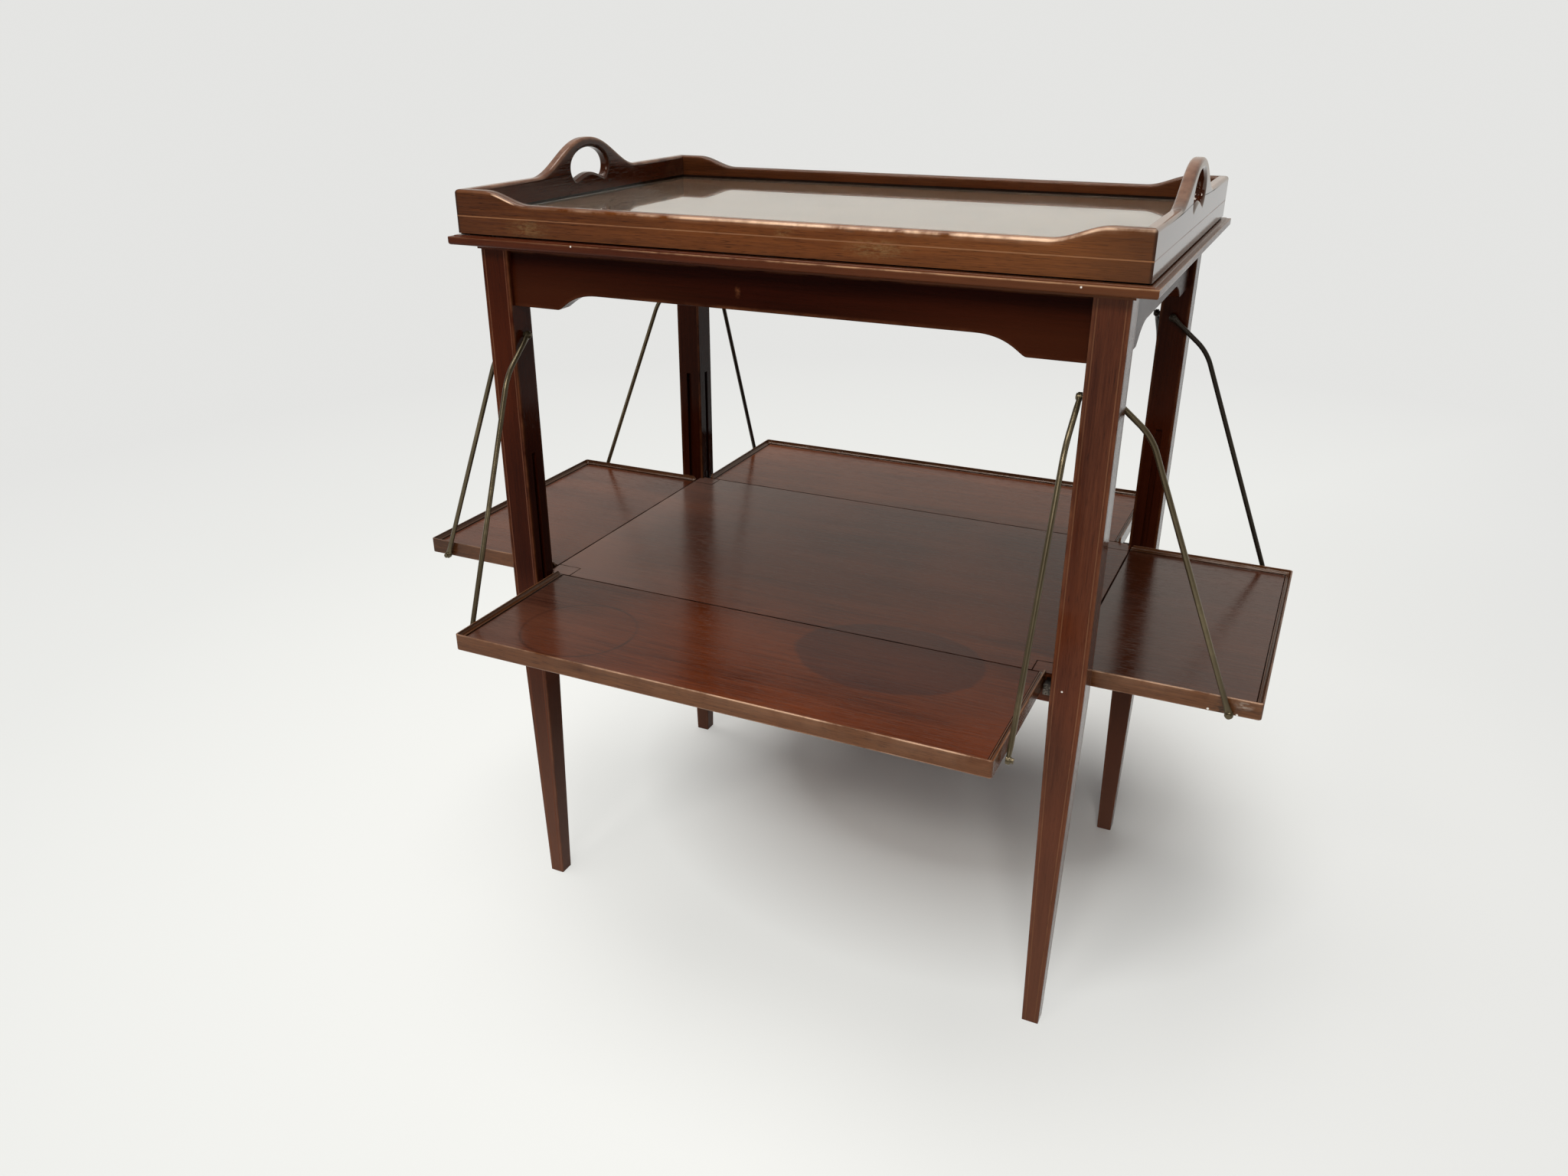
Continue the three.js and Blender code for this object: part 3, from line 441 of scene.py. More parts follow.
def polished_wood(
    name, grain_turn, dark, light, warm, bare,
    ribbon=0.45, pores=0.5, glossy=0.15, dull=0.27, relief=0.25, sheen=0.16, tint=(1.0, 0.9, 0.8, 1),
    wear=0.5, wear_left=None,
):
    """Polished mahogany whose grain runs along one axis of the table.

    Wear is how strongly the arrises are painted pale, rubbed polish and in some materials a painted
    highlight; wear_left is its value at the table's left side.

    Returns the material, its tree, its shader and the socket that holds its colour, so that marks
    can be laid over it.
    """
    material, tree, shader = new_material(name)
    spot, place = object_place(tree)
    along = add_node(tree, "ShaderNodeMapping", {"Vector": spot, "Rotation": grain_turn}).outputs[0]
    grain = use_group(tree, grain_group, {
        "Along": along, "Dark": dark, "Light": light, "Warm": warm, "Ribbon": ribbon, "Pores": pores,
    })
    arris = add_node(tree, "ShaderNodeAttribute", attribute_name="wear").outputs["Fac"]
    amount = wear
    if wear_left is not None:
        amount = remap(tree, place["X"], -0.25, 0.1, wear_left, wear)
    worn = use_group(tree, arris_group, {
        "Where": spot, "Color": grain["Color"], "Bare": bare, "Arris": arris, "Amount": amount,
    })
    polish = use_group(tree, polish_group, {"Where": spot, "Glossy": glossy, "Dull": dull})
    bump = add_node(tree, "ShaderNodeBump", {
        "Strength": relief, "Distance": relief_depth, "Height": grain["Height"],
    })
    tree.links.new(worn["Color"], shader.inputs["Base Color"])
    tree.links.new(polish["Roughness"], shader.inputs["Roughness"])
    tree.links.new(bump.outputs[0], shader.inputs["Normal"])
    shader.inputs["Specular IOR Level"].default_value = sheen
    shader.inputs["Specular Tint"].default_value = tint
    return material, tree, shader, worn["Color"]


deep = (0.026, 0.0036, 0.0012, 1)
warm_red = (0.090, 0.0160, 0.0045, 1)
rubbed_brown = (0.17, 0.060, 0.024, 1)
paint_fleck = (0.75, 0.72, 0.66, 1)
leg_speck = (0.2976, -0.2081, 0.4045)
leg_speck_radius = 0.0011
leg_woods = {}
# The front right leg has the lit wood. The other three legs, in the shade of the top, take a darker copy of
# it, which is painted shade.
for name, colours, foot_painted_light, leg_sheen in (
    (
        "mahogany", [deep, (0.105, 0.0300, 0.0125, 1), (0.115, 0.0270, 0.0095, 1)],
        (0.135, 0.050, 0.026, 1), 0.16,
    ),
    (
        "mahogany_painted_shade", [(0.013, 0.0016, 0.0006, 1), (0.040, 0.0078, 0.0027, 1), (0.075, 0.0135, 0.004, 1)],
        (0.16, 0.075, 0.05, 1), 0.05,
    ),
):
    leg_woods[name], tree, shader, colour = polished_wood(
        f"leg_{name}", along_z, *colours, rubbed_brown, ribbon=0.4, glossy=0.07, dull=0.13, sheen=leg_sheen,
    )
    place = object_place(tree)[1]
    # Painted light: each leg is painted lighter towards its foot, standing for light from the floor.
    colour = mix_colour(tree, remap(tree, place["Z"], 0.42, 0.02, 0.0, 0.6), colour, foot_painted_light)
    add_specks(tree, shader, colour, [leg_speck], paint_fleck, leg_speck_radius)

leg_low, leg_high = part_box("leg_back_right")
leg_fullness = 0.001
leg_width = leg_high.x - leg_low.x + leg_fullness
leg_middle = np.array([leg_low.x + leg_width / 2, leg_low.y + leg_width / 2])
leg_top = leg_high.z
foot_width = 0.0175
taper_top = 0.389
leg_arris = 0.0011
foot_ease = 0.0008
slot_width = 0.0067
slot_depth = 0.0054
slot_shift = 0.0010
slot_low = 0.3907
slot_high = 0.550


def leg_width_at(z):
    """Width of a leg at a height: the foot's width, growing evenly to the full width at the taper's top."""
    return np.interp(z, [0, taper_top], [foot_width, leg_width])


def leg_ring(z, width, cut):
    """Section of the back right leg: an eased square, its two inner faces slotted to the depth of cut."""
    half = width / 2
    outline, wear = eased([[half, -half], [half, half], [-half, half], [-half, -half]], leg_arris)
    each = len(outline) // 4
    edge = slot_width / 2
    bed = edge if cut else edge / 2
    into = np.array([0, cut, cut, 0])
    side = np.array([edge, bed, -bed, -edge]) + slot_shift
    left_slot = np.stack([-half + into, side], -1)
    front_slot = np.stack([side[::-1], -half + into], -1)
    outline = np.concatenate([outline[:3 * each], left_slot, outline[3 * each:], front_slot])
    wear = np.concatenate([wear[:3 * each], np.zeros(4), wear[3 * each:], np.zeros(4)])
    ring = np.column_stack([outline + leg_middle, np.full(len(outline), z)])
    return ring, wear


leg_stations = [
    (0, foot_width - 2 * foot_ease, 0), (foot_ease, leg_width_at(foot_ease), 0), (taper_top, leg_width, 0),
    (slot_low, leg_width, 0), (slot_low, leg_width, slot_depth),
    (slot_high, leg_width, slot_depth), (slot_high, leg_width, 0), (leg_top, leg_width, 0),
]
leg_rings, leg_wear = zip(*(leg_ring(*station) for station in leg_stations))
leg_shell = skin(np.array(leg_rings), np.array(leg_wear))

stringing_inset = 0.0040
stringing_width = 0.0011
stringing_proud = 0.00004
stringing_sunk = 0.0003


def strip(path, across, out, width):
    """A thin flat strip let into a face: a barely proud rectangle carried along a path on the face."""
    across = np.asarray(across, float) * width / 2
    out = np.asarray(out, float)
    proud, sunk = out * stringing_proud, -out * stringing_sunk
    corners = np.array([across + proud, -across + proud, -across + sunk, across + sunk])
    return skin(np.asarray(path, float)[:, None, :] + corners[None, :, :])


def mirrored_shell(shell, sign_x, sign_y):
    """A shell made for the back right corner, carried to another corner by mirroring."""
    points, faces, wear = shell
    return points * np.array([sign_x, sign_y, 1]), faces, wear


string_foot_gap = 0.0015
string_top_gap = 0.0005
string_z = np.array([string_foot_gap, taper_top, leg_top - string_top_gap])
string_half = leg_width_at(string_z) / 2
string_shells = []
for side in (-1, 1):
    inset = side * (string_half - stringing_inset)
    on_x_face = np.column_stack([leg_middle[0] + string_half, leg_middle[1] + inset, string_z])
    on_y_face = np.column_stack([leg_middle[0] + inset, leg_middle[1] + string_half, string_z])
    string_shells.append(strip(on_x_face, (0, 1, 0), (1, 0, 0), stringing_width))
    string_shells.append(strip(on_y_face, (1, 0, 0), (0, 1, 0), stringing_width))

string_dark = (0.085, 0.028, 0.012, 1)
string_light = (0.17, 0.066, 0.030, 1)
string_shaded = (0.120, 0.044, 0.020, 1)


def string_inlay(name, turn, dark, light, warm):
    """The wood of a line of stringing, which has hardly any relief."""
    return polished_wood(name, turn, dark, light, warm, warm, relief=0.1)[0]


string_wood = string_inlay("leg_stringing", along_z, string_dark, string_light, string_light)
shaded_string_wood = string_inlay("leg_stringing_painted_shade", along_z, warm_red, string_shaded, string_shaded)
corners = {"front_left": (-1, -1), "front_right": (1, -1), "back_left": (-1, 1), "back_right": (1, 1)}
# Painted shade: the legs other than the front right one, and their stringing, take the darker copies.
for corner, signs in corners.items():
    if corner == "front_right":
        wood, string = leg_woods["mahogany"], string_wood
    else:
        wood, string = leg_woods["mahogany_painted_shade"], shaded_string_wood
    post = [mirrored_shell(leg_shell, *signs)]
    make_piece(f"leg_{corner}_post", post, "frame", wood, [f"leg_{corner}"])
    strings = [mirrored_shell(shell, *signs) for shell in string_shells]
    make_piece(f"leg_{corner}_stringing", strings, "frame", string)


# Aprons
# Four boards tenoned between the legs and set back from their faces. The lower edge drops to the
# legs in a cyma, and plain glue blocks sit in the angle under the top.
apron_setback = 0.005
apron_thickness = 0.018
apron_depth = 0.0552
apron_rise = 0.0166
apron_low_run = 0.051
cyma_run = 0.046
cyma_low_share = 0.13
cyma_high_share = 0.33
apron_arris = 0.0014
glue_line = 0.0002
apron_top = leg_top
apron_low = leg_top + glue_line - apron_depth


def bezier(points, steps):
    """A cubic curve through its first and last control points, at even steps of its parameter."""
    share = np.linspace(0, 1, steps + 1)[:, None]
    left = 1 - share
    a, b, c, d = np.asarray(points, float)
    return left ** 3 * a + 3 * share * left ** 2 * b + 3 * share ** 2 * left * c + share ** 3 * d


def apron_shell(half):
    """An apron along X: an eased board section at each place of its lower edge, which rises by a cyma."""
    low_end = half - apron_low_run
    cyma = bezier([
        [low_end, 0], [low_end - cyma_low_share * cyma_run, 0],
        [low_end - cyma_high_share * cyma_run, apron_rise], [low_end - cyma_run, apron_rise],
    ], 20)
    edge = np.concatenate([[[half - glue_line, 0]], cyma])
    edge = np.concatenate([edge * [-1, 1], edge[::-1]])
    thick = apron_thickness / 2
    low = apron_low + edge[:, 1]
    high = np.full(len(edge), apron_top)
    out = np.full(len(edge), thick)
    section = np.stack([
        np.column_stack([-out, low]), np.column_stack([out, low]),
        np.column_stack([out, high]), np.column_stack([-out, high]),
    ], 1)
    outline, wear = eased(section, [apron_arris, apron_arris, leg_arris / 2, leg_arris / 2])
    along = np.broadcast_to(edge[:, None, 0], outline.shape[:2])
    return skin(np.dstack([along, outline]), wear)


def upright_turn(turn):
    """The rotation matrix of a turn about the upright axis."""
    cos, sin = math.cos(turn), math.sin(turn)
    return np.array([[cos, -sin, 0], [sin, cos, 0], [0, 0, 1]])


def turned_shell(shell, turn, move=(0, 0, 0)):
    """A shell turned about the table's upright middle line, and then moved."""
    points, faces, wear = shell
    return points @ upright_turn(turn).T + np.array(move), faces, wear


def block_shell(low, high, radius=0.001):
    """A box with eased long edges, carried along its longest side."""
    low, high = np.asarray(low, float), np.asarray(high, float)
    order = np.argsort(high - low)
    a, b, long = order
    corners = [[low[a], low[b]], [high[a], low[b]], [high[a], high[b]], [low[a], high[b]]]
    outline, wear = eased(corners, radius, 3, radius)
    ends = np.array([low[long], high[long]])
    rings = np.zeros((2, len(outline), 3))
    rings[..., a] = outline[:, 0]
    rings[..., b] = outline[:, 1]
    rings[..., long] = ends[:, None]
    return skin(rings, wear)


# The aprons' wood is far darker than the legs', painted shade from the top's overhang.
apron_dark = (0.0025, 0.0002, 0.0001, 1)
apron_light = (0.022, 0.0026, 0.0008, 1)
apron_painted_glow = (0.046, 0.0105, 0.0036, 1)
apron_scratch = (-0.0350, -0.2021, 0.7400)
apron_scratch_reach = (0.0035, 0.004, 0.007)
apron_woods = {}
for name, turn in (("long", along_x), ("side", along_y)):
    apron_woods[name], tree, shader, colour = polished_wood(
        f"apron_mahogany_{name}", turn, apron_dark, apron_light, apron_light, rubbed_brown,
        ribbon=0.5, sheen=0.03,
    )
    spot, place = object_place(tree)
    # Painted light: each apron is painted lighter towards its lower edge and its ends, standing for light
    # from the shelf and floor below.
    lower = remap(tree, place["Z"], 0.756, 0.724, 0.0, 0.75)
    outer = remap(tree, math_node(tree, "ABSOLUTE", place["X"]), 0.03, 0.22, 0.22, 1.0)
    colour = mix_colour(tree, multiply(tree, lower, outer), colour, apron_painted_glow)
    colour = use_group(tree, patch_group, {
        "Where": spot, "Centre": apron_scratch, "Reach": apron_scratch_reach, "Color": colour,
        "Paint": rubbed_brown, "Share": 0.5,
    })["Color"]
    tree.links.new(colour, shader.inputs["Base Color"])
bare_dark = (0.06, 0.028, 0.014, 1)
bare_light = (0.15, 0.078, 0.040, 1)
plain_wood = polished_wood(
    "plain_wood", along_y, bare_dark, bare_light, bare_light, bare_light,
    pores=0.8, glossy=0.6, dull=0.8, relief=0.6,
)[0]
inner_half_x, inner_half_y = leg_low.x, leg_low.y
apron_place_x = leg_high.x - apron_setback - apron_thickness / 2
apron_place_y = leg_high.y - apron_setback - apron_thickness / 2
glue_block_length = 0.060
glue_block_width = 0.014
glue_block_share = 0.55


def glue_blocks(half, shares):
    """Square blocks rubbed into the angle behind an apron that lies along X, at shares of its half length."""
    face = apron_thickness / 2
    top = apron_top - glue_line
    return [
        block_shell(
            (share * half - glue_block_length / 2, face, top - glue_block_width),
            (share * half + glue_block_length / 2, face + glue_block_width, top),
        )
        for share in shares
    ]


long_shares = (-glue_block_share, 0, glue_block_share)
for name, half, turn, move, length, shares in (
    ("front", inner_half_x, 0, (0, -apron_place_y, 0), "long", long_shares),
    ("back", inner_half_x, math.pi, (0, apron_place_y, 0), "long", long_shares),
    ("left", inner_half_y, -math.pi / 2, (-apron_place_x, 0, 0), "side", (0,)),
    ("right", inner_half_y, math.pi / 2, (apron_place_x, 0, 0), "side", (0,)),
):
    board = [turned_shell(apron_shell(half), turn, move)]
    wood = apron_woods[length]
    make_piece(f"apron_{name}_board", board, "frame", wood, [f"apron_{name}"])
    blocks = [turned_shell(block, turn, move) for block in glue_blocks(half, shares)]
    make_piece(f"apron_{name}_glue_blocks", blocks, "frame", plain_wood)


# Table top
# One wide board of mahogany screwed down on the aprons, thinner where it overhangs them. Its edge
# is a fillet with a rounded foot, and a shallow cove leads up to the surface under the tray.
top_low, top_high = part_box("table_top")
overhang_rise = 0.005
thick_inset = 0.0195
ovolo_run = 0.0022
ovolo_rise = 0.0025
cove_rise = 0.0012
cove_run = 0.0042
cove_quirk = 0.0005
fillet_ease = 0.0006
fillet_fade = 0.001


def quarter(centre, radii, start, end, steps):
    """Points of an ellipse about a centre between two angles, ends included."""
    angle = np.linspace(math.radians(start), math.radians(end), steps + 1)
    return np.column_stack([centre[0] + radii[0] * np.cos(angle), centre[1] + radii[1] * np.sin(angle)])


def table_top_shell():
    """A rectangle for each point of the moulding's profile, set in by its run and raised to its height."""
    fillet_top = top_high.z - cove_rise
    overhang_low = top_low.z + overhang_rise
    fillet_bottom = overhang_low + ovolo_rise
    under = [[thick_inset, top_low.z], [thick_inset, overhang_low], [2 * ovolo_run, overhang_low]]
    ovolo = quarter((ovolo_run, fillet_bottom), (ovolo_run, ovolo_rise), -90, -180, 6)
    fillet = [[0, fillet_bottom + fillet_fade], [0, fillet_top - fillet_ease - fillet_fade]]
    arris = quarter((fillet_ease, fillet_top - fillet_ease), (fillet_ease, fillet_ease), 180, 90, 4)
    cove = quarter((cove_quirk, top_high.z), (cove_run, cove_rise), -90, -6, 8)
    cove_end = cove_quirk + cove_run
    surface = [[cove_end + 0.5 * fillet_fade, top_high.z], [cove_end + 5 * fillet_fade, top_high.z]]
    profile = np.concatenate([under, ovolo, fillet, arris, cove, surface])
    below = len(under) + len(ovolo) + len(fillet)
    wear = np.concatenate([np.zeros(below), np.ones(len(arris)), np.zeros(len(cove) + len(surface))])
    half = np.array([top_high.x, top_high.y])
    signs = np.array([[-1, -1], [1, -1], [1, 1], [-1, 1]])
    rings = np.zeros((len(profile), 4, 3))
    rings[..., :2] = signs[None] * (half - profile[:, :1])[:, None, :]
    rings[..., 2] = profile[:, 1:]
    return skin(rings, wear[:, None])


top_light = (0.070, 0.0155, 0.0050, 1)
top_warm = (0.085, 0.0175, 0.0045, 1)
top_arris_highlight = (0.42, 0.24, 0.13, 1)
top_right_lit = (0.125, 0.047, 0.019, 1)
top_specks = [(-0.1960, -0.2292, 0.7735), (0.2804, -0.2292, 0.7722)]
top_speck_radius = 0.0010
# The upper arris of the edge is painted pale, strongly on the right and faintly on the left: a painted
# highlight along with wear.
top_wood, tree, shader, colour = polished_wood(
    "top_mahogany", along_x, deep, top_light, top_warm, top_arris_highlight,
    ribbon=0.3, sheen=0.13, wear=1.3, wear_left=0.1,
)
place = object_place(tree)[1]
# Painted light: the top is painted lighter towards its right side.
colour = mix_colour(tree, remap(tree, place["X"], -0.1, 0.34, 0.0, 0.6), colour, top_right_lit)
add_specks(tree, shader, colour, top_specks, paint_fleck, top_speck_radius)
make_piece("table_top_board", [table_top_shell()], "frame", top_wood, ["table_top"])


# Pivot screws
# Eight round-headed brass screws in the legs' inner faces, two to a leaf, on which the rods turn.
# A plain shoulder behind the head spaces each rod off its leg.
def turned_profile(profile, centre, axis, faces=24):
    """A turned piece: each point of the profile gives a circle of its radius, that far along the axis."""
    profile = np.asarray(profile, float)
    axis = np.asarray(axis, float)
    first = np.cross(axis, (0, 0, 1))
    second = np.cross(axis, first)
    angle = np.linspace(0, 2 * math.pi, faces, endpoint=False)
    circle = np.cos(angle)[:, None] * first + np.sin(angle)[:, None] * second
    rings = np.asarray(centre) + profile[:, 1, None, None] * axis + profile[:, 0, None, None] * circle
    return skin(rings)


def metal(name, dark, light, worn, rough_low, rough_high, scale, metallic=1.0, relief=0.3):
    """Old metal: its tarnish is dark and dull, and rubbed bright in patches, with scratches in its relief."""
    material, tree, shader = new_material(name)
    spot = object_place(tree)[0]
    patch = noise_node(tree, spot, scale, 5.0, 0.65)
    speck = noise_node(tree, spot, scale * 9, 3.0, 0.7)
    colour = mix_colour(tree, remap(tree, patch, 0.36, 0.62), dark, light)
    rubbed = multiply(tree, remap(tree, patch, 0.52, 0.7), remap(tree, speck, 0.42, 0.6))
    colour = mix_colour(tree, rubbed, colour, worn)
    tree.links.new(colour, shader.inputs["Base Color"])
    tree.links.new(remap(tree, speck, 0.3, 0.7, rough_low, rough_high), shader.inputs["Roughness"])
    bump = add_node(tree, "ShaderNodeBump", {"Strength": relief, "Distance": relief_depth, "Height": speck})
    tree.links.new(bump.outputs[0], shader.inputs["Normal"])
    shader.inputs["Metallic"].default_value = metallic
    return material


rod_brass = metal(
    "rod_brass", (0.078, 0.060, 0.033, 1), (0.140, 0.110, 0.062, 1), (0.24, 0.19, 0.11, 1),
    0.28, 0.30, 7, metallic=0.75, relief=0.0,
)
# Painted shade: the rods and pivots at the back take a darker copy of the brass.
shaded_brass = metal(
    "rod_brass_painted_shade", (0.022, 0.016, 0.010, 1), (0.036, 0.027, 0.016, 1), (0.055, 0.042, 0.025, 1),
    0.37, 0.38, 7, metallic=0.6, relief=0.0,
)
shaded_rods = ("back_left", "back_right", "right_back")
pivot_depth = 0.009
screw_radius = 0.0015
screw_collar_radius = 0.0025
screw_head_radius = 0.0031
screw_head_height = 0.0013
screw_tip_length = 0.0006
screw_shoulder_length = 0.0046
head_edge_share = 0.4
head_brow_shares = (0.72, 0.85)
head_crown_share = 0.3
pole_radius = 0.0001


def screw_head(base, height):
    """Profile of a low round head: its edge, its brow and its crown, from its base up to its height."""
    brow_radius, brow_height = head_brow_shares
    return [
        (screw_head_radius, base), (screw_head_radius, base + head_edge_share * screw_head_height),
        (brow_radius * screw_head_radius, base + brow_height * screw_head_height),
        (head_crown_share * screw_head_radius, height), (pole_radius, height),
    ]


for node in [name for name in frame["nodes"] if name.startswith("pivot_screw_")]:
    low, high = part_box(node)
    span = np.array(high) - np.array(low)
    axis_index = int(np.argmax(span))
    middle = (np.array(high) + np.array(low)) / 2
    inward = -np.sign(middle[axis_index])
    axis = np.zeros(3)
    axis[axis_index] = inward
    tip = middle - axis * span[axis_index] / 2
    length = span[axis_index]
    head = length - screw_head_height
    shoulder = head - screw_shoulder_length
    shank = [
        (pole_radius, 0), (screw_radius, screw_tip_length), (screw_radius, pivot_depth),
        (screw_collar_radius, pivot_depth), (screw_collar_radius, shoulder), (screw_radius, shoulder),
        (screw_radius, head),
    ]
    screw = [turned_profile(shank + screw_head(head, length), tip, axis)]
    brass = shaded_brass if node.endswith(shaded_rods) else rod_brass
    make_piece(node.replace("pivot_screw", "pivot"), screw, "frame", brass, [node])


# Tray boards
# The butler's tray has two long boards with low middles and raised corners, and two end boards
# with a hump and a finger hole. All are mitred at the corners, rounded on top and strung outside.
tray_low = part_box("tray_board_front")[0]
tray_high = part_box("tray_board_back")[1]
tray_half_x, tray_half_y = tray_high.x, tray_high.y
tray_bottom = tray_low.z
board_thickness = 0.0116
board_round = 0.0034
board_fade = 0.003
rim_height = 0.0393
rail_height = 0.0278
rail_half = 0.249
rail_cyma_run = 0.050
rebate_width = 0.005
floor_top = 0.011
foot_drop = 0.0014
gap_height = 0.0022


def board_section(height, steps=7):
    """Section of a tray board from its outer foot: rebated foot, inner face, rounded top, outer face."""
    rebate = board_thickness - rebate_width
    foot = [[0, -foot_drop], [rebate, -foot_drop], [rebate, floor_top], [board_thickness, floor_top]]
    radii = (board_round, board_round)
    inner = quarter((board_thickness - board_round, height - board_round), radii, 0, 90, steps)
    outer = quarter((board_round, height - board_round), radii, 90, 180, steps)
    fade = [0, board_fade]
    section = np.concatenate([foot, [inner[0] - fade], inner, outer, [outer[-1] - fade]])
    outer_wear = np.interp(np.linspace(0, 1, len(outer)), [0, 0.45, 0.62, 0.8, 1], [0.1, 0.2, 1, 1, 0.1])
    wear = np.concatenate([np.zeros(5), np.full(len(inner), 0.1), outer_wear, [0]])
    return section, wear


def long_board_shell():
    """The front board: the section along an upper edge that swells from rail to rim by half a cosine wave."""
    share = np.linspace(0, 1, 19)
    run = rail_half + rail_cyma_run * share
    rise = rail_height + (rim_height - rail_height) * (0.5 - 0.5 * np.cos(math.pi * share))
    along = np.concatenate([-run[::-1], run])
    height = np.concatenate([rise[::-1], rise])
    along = np.concatenate([[-tray_half_x], along, [tray_half_x]])
    height = np.concatenate([[rim_height], height, [rim_height]])
    sections, wear = zip(*(board_section(value) for value in height))
    sections = np.array(sections)
    place = np.broadcast_to(along[:, None], sections.shape[:2]).copy()
    mitre = tray_half_x - glue_line - sections[..., 0]
    place = np.clip(place, -mitre, mitre)
    points = np.dstack([place, sections[..., 0] - tray_half_y, sections[..., 1] + tray_bottom])
    return skin(points, np.array(wear))


gold_dark = (0.044, 0.0105, 0.0024, 1)
gold_light = (0.165, 0.049, 0.0105, 1)
gold_warm = (0.120, 0.032, 0.0055, 1)
highlight_gold = (0.74, 0.49, 0.33, 1)
rubbed_handle = (0.34, 0.19, 0.12, 1)
scuffed_gold = (0.23, 0.145, 0.060, 1)
right_lit_gold = (0.27, 0.125, 0.048, 1)
left_shade = (0.42, 0.36, 0.34, 1)
right_end_shade = (0.042, 0.0165, 0.0085, 1)
mitre_shade = (0.020, 0.008, 0.005, 1)
glint_place = -0.276


def shade_foot(tree, shader, colour):
    """Lays a painted shadow, a dark line, over the foot of the boards' inner faces, where they meet the
    glass.
    """
    place = object_place(tree)[1]
    inset_x = subtract(tree, tray_half_x, math_node(tree, "ABSOLUTE", place["X"]))
    inset_y = subtract(tree, tray_half_y, math_node(tree, "ABSOLUTE", place["Y"]))
    inner = math_node(tree, "GREATER_THAN", math_node(tree, "MINIMUM", inset_x, inset_y), board_thickness / 2)
    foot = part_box("tray_glass")[1].z
    gap = remap(tree, place["Z"], foot + gap_height, foot + 1.4 * gap_height, 1.0, 0.0)
    gap_colour = mix_colour(tree, multiply(tree, inner, gap), colour, hollow_shade_colour)
    tree.links.new(gap_colour, shader.inputs["Base Color"])


# The boards' outer upper arris carries a pale line, strong on the right and faint on the left: a painted
# highlight along with wear.
front_wood, tree, shader, colour = polished_wood(
    "tray_mahogany_long", along_x, gold_dark, gold_light, gold_warm, highlight_gold,
    ribbon=0.35, pores=0.75, glossy=0.12, dull=0.22, sheen=0.20, wear=1.5, wear_left=0.12,
)
spot, place = object_place(tree)
# Painted shade darkens the board towards its left end, and painted light makes it paler towards its right.
shaded = mix_colour(tree, 1.0, colour, left_shade, "MULTIPLY")
colour = mix_colour(tree, remap(tree, place["X"], -0.33, -0.1, 0.62, 0.0), colour, shaded)
colour = mix_colour(tree, remap(tree, place["X"], 0.05, 0.3, 0.0, 0.12), colour, right_lit_gold)
for centre, reach, share in (
    ((0.106, -0.2215, 0.789), (0.036, 1, 0.010), 0.42),
    ((-0.249, -0.2215, 0.785), (0.030, 1, 0.012), 0.30),
    ((0.020, -0.2215, 0.797), (0.012, 1, 0.006), 0.30),
):
    colour = use_group(tree, patch_group, {
        "Where": spot, "Centre": centre, "Reach": reach, "Share": share,
        "Color": colour, "Paint": scuffed_gold,
    })["Color"]
end_inset = subtract(tree, tray_half_x, math_node(tree, "ABSOLUTE", place["X"]))
colour = mix_colour(tree, remap(tree, place["X"], 0.262, 0.322, 0.0, 0.55), colour, right_end_shade)
colour = mix_colour(tree, remap(tree, end_inset, 0.0012, 0.0030, 0.8, 0.0), colour, mitre_shade)
# A painted highlight: a glint on the arris of the board's left slope.
arris = add_node(tree, "ShaderNodeAttribute", attribute_name="wear").outputs["Fac"]
from_glint = math_node(tree, "ABSOLUTE", subtract(tree, place["X"], glint_place))
near_glint = remap(tree, from_glint, 0.007, 0.014, 1.0, 0.0)
glint = multiply(tree, near_glint, remap(tree, arris, 0.6, 1.0))
shade_foot(tree, shader, mix_colour(tree, glint, colour, highlight_gold))
end_dark = (0.026, 0.0062, 0.0026, 1)
end_light = (0.070, 0.0210, 0.0085, 1)
end_woods = {}
for side, end_sheen, end_relief in (("left", 0.30, 0.15), ("right", 0.9, 0.02)):
    end_woods[side], tree, shader, colour = polished_wood(
        f"tray_mahogany_{side}", along_y, end_dark, end_light, warm_red, rubbed_handle,
        ribbon=0.35, glossy=0.07, dull=0.10, relief=end_relief, sheen=end_sheen, wear=0.7,
    )
    shade_foot(tree, shader, colour)
tray_string = (0.27, 0.125, 0.052, 1)
string_gold = string_inlay("tray_stringing_x", along_x, string_light, tray_string, string_light)
string_end = string_inlay("tray_stringing_y", along_y, string_light, tray_string, string_light)
string_height = 0.0149
back_wood, tree, shader, colour = polished_wood(
    "tray_mahogany_back", along_x,
    (0.024, 0.0060, 0.0018, 1), (0.085, 0.026, 0.0080, 1), (0.070, 0.018, 0.0050, 1), rubbed_handle,
    ribbon=0.35, pores=0.6, glossy=0.14, dull=0.26, sheen=0.2, wear=0.6, wear_left=0.15,
)
shade_foot(tree, shader, colour)
for side, turn, wood in (("front", 0, front_wood), ("back", math.pi, back_wood)):
    board = [turned_shell(long_board_shell(), turn)]
    make_piece(f"tray_{side}_board", board, "tray", wood, [f"tray_board_{side}"])


hole_half = 0.036
hole_rise = 0.020
hole_middle = 0.0433
hole_corner_reach = 0.028
hole_corner_low = 0.0303
hole_arch_top = 0.0373
hole_side_bends = [[0.036, 0.03745], [0.03296, 0.03355]]
hole_arch_bends = [[0.0196, 0.0331], [0.0098, 0.0373]]
hump_half = 0.100
hump_rise = 0.0345
hump_power = 1.12


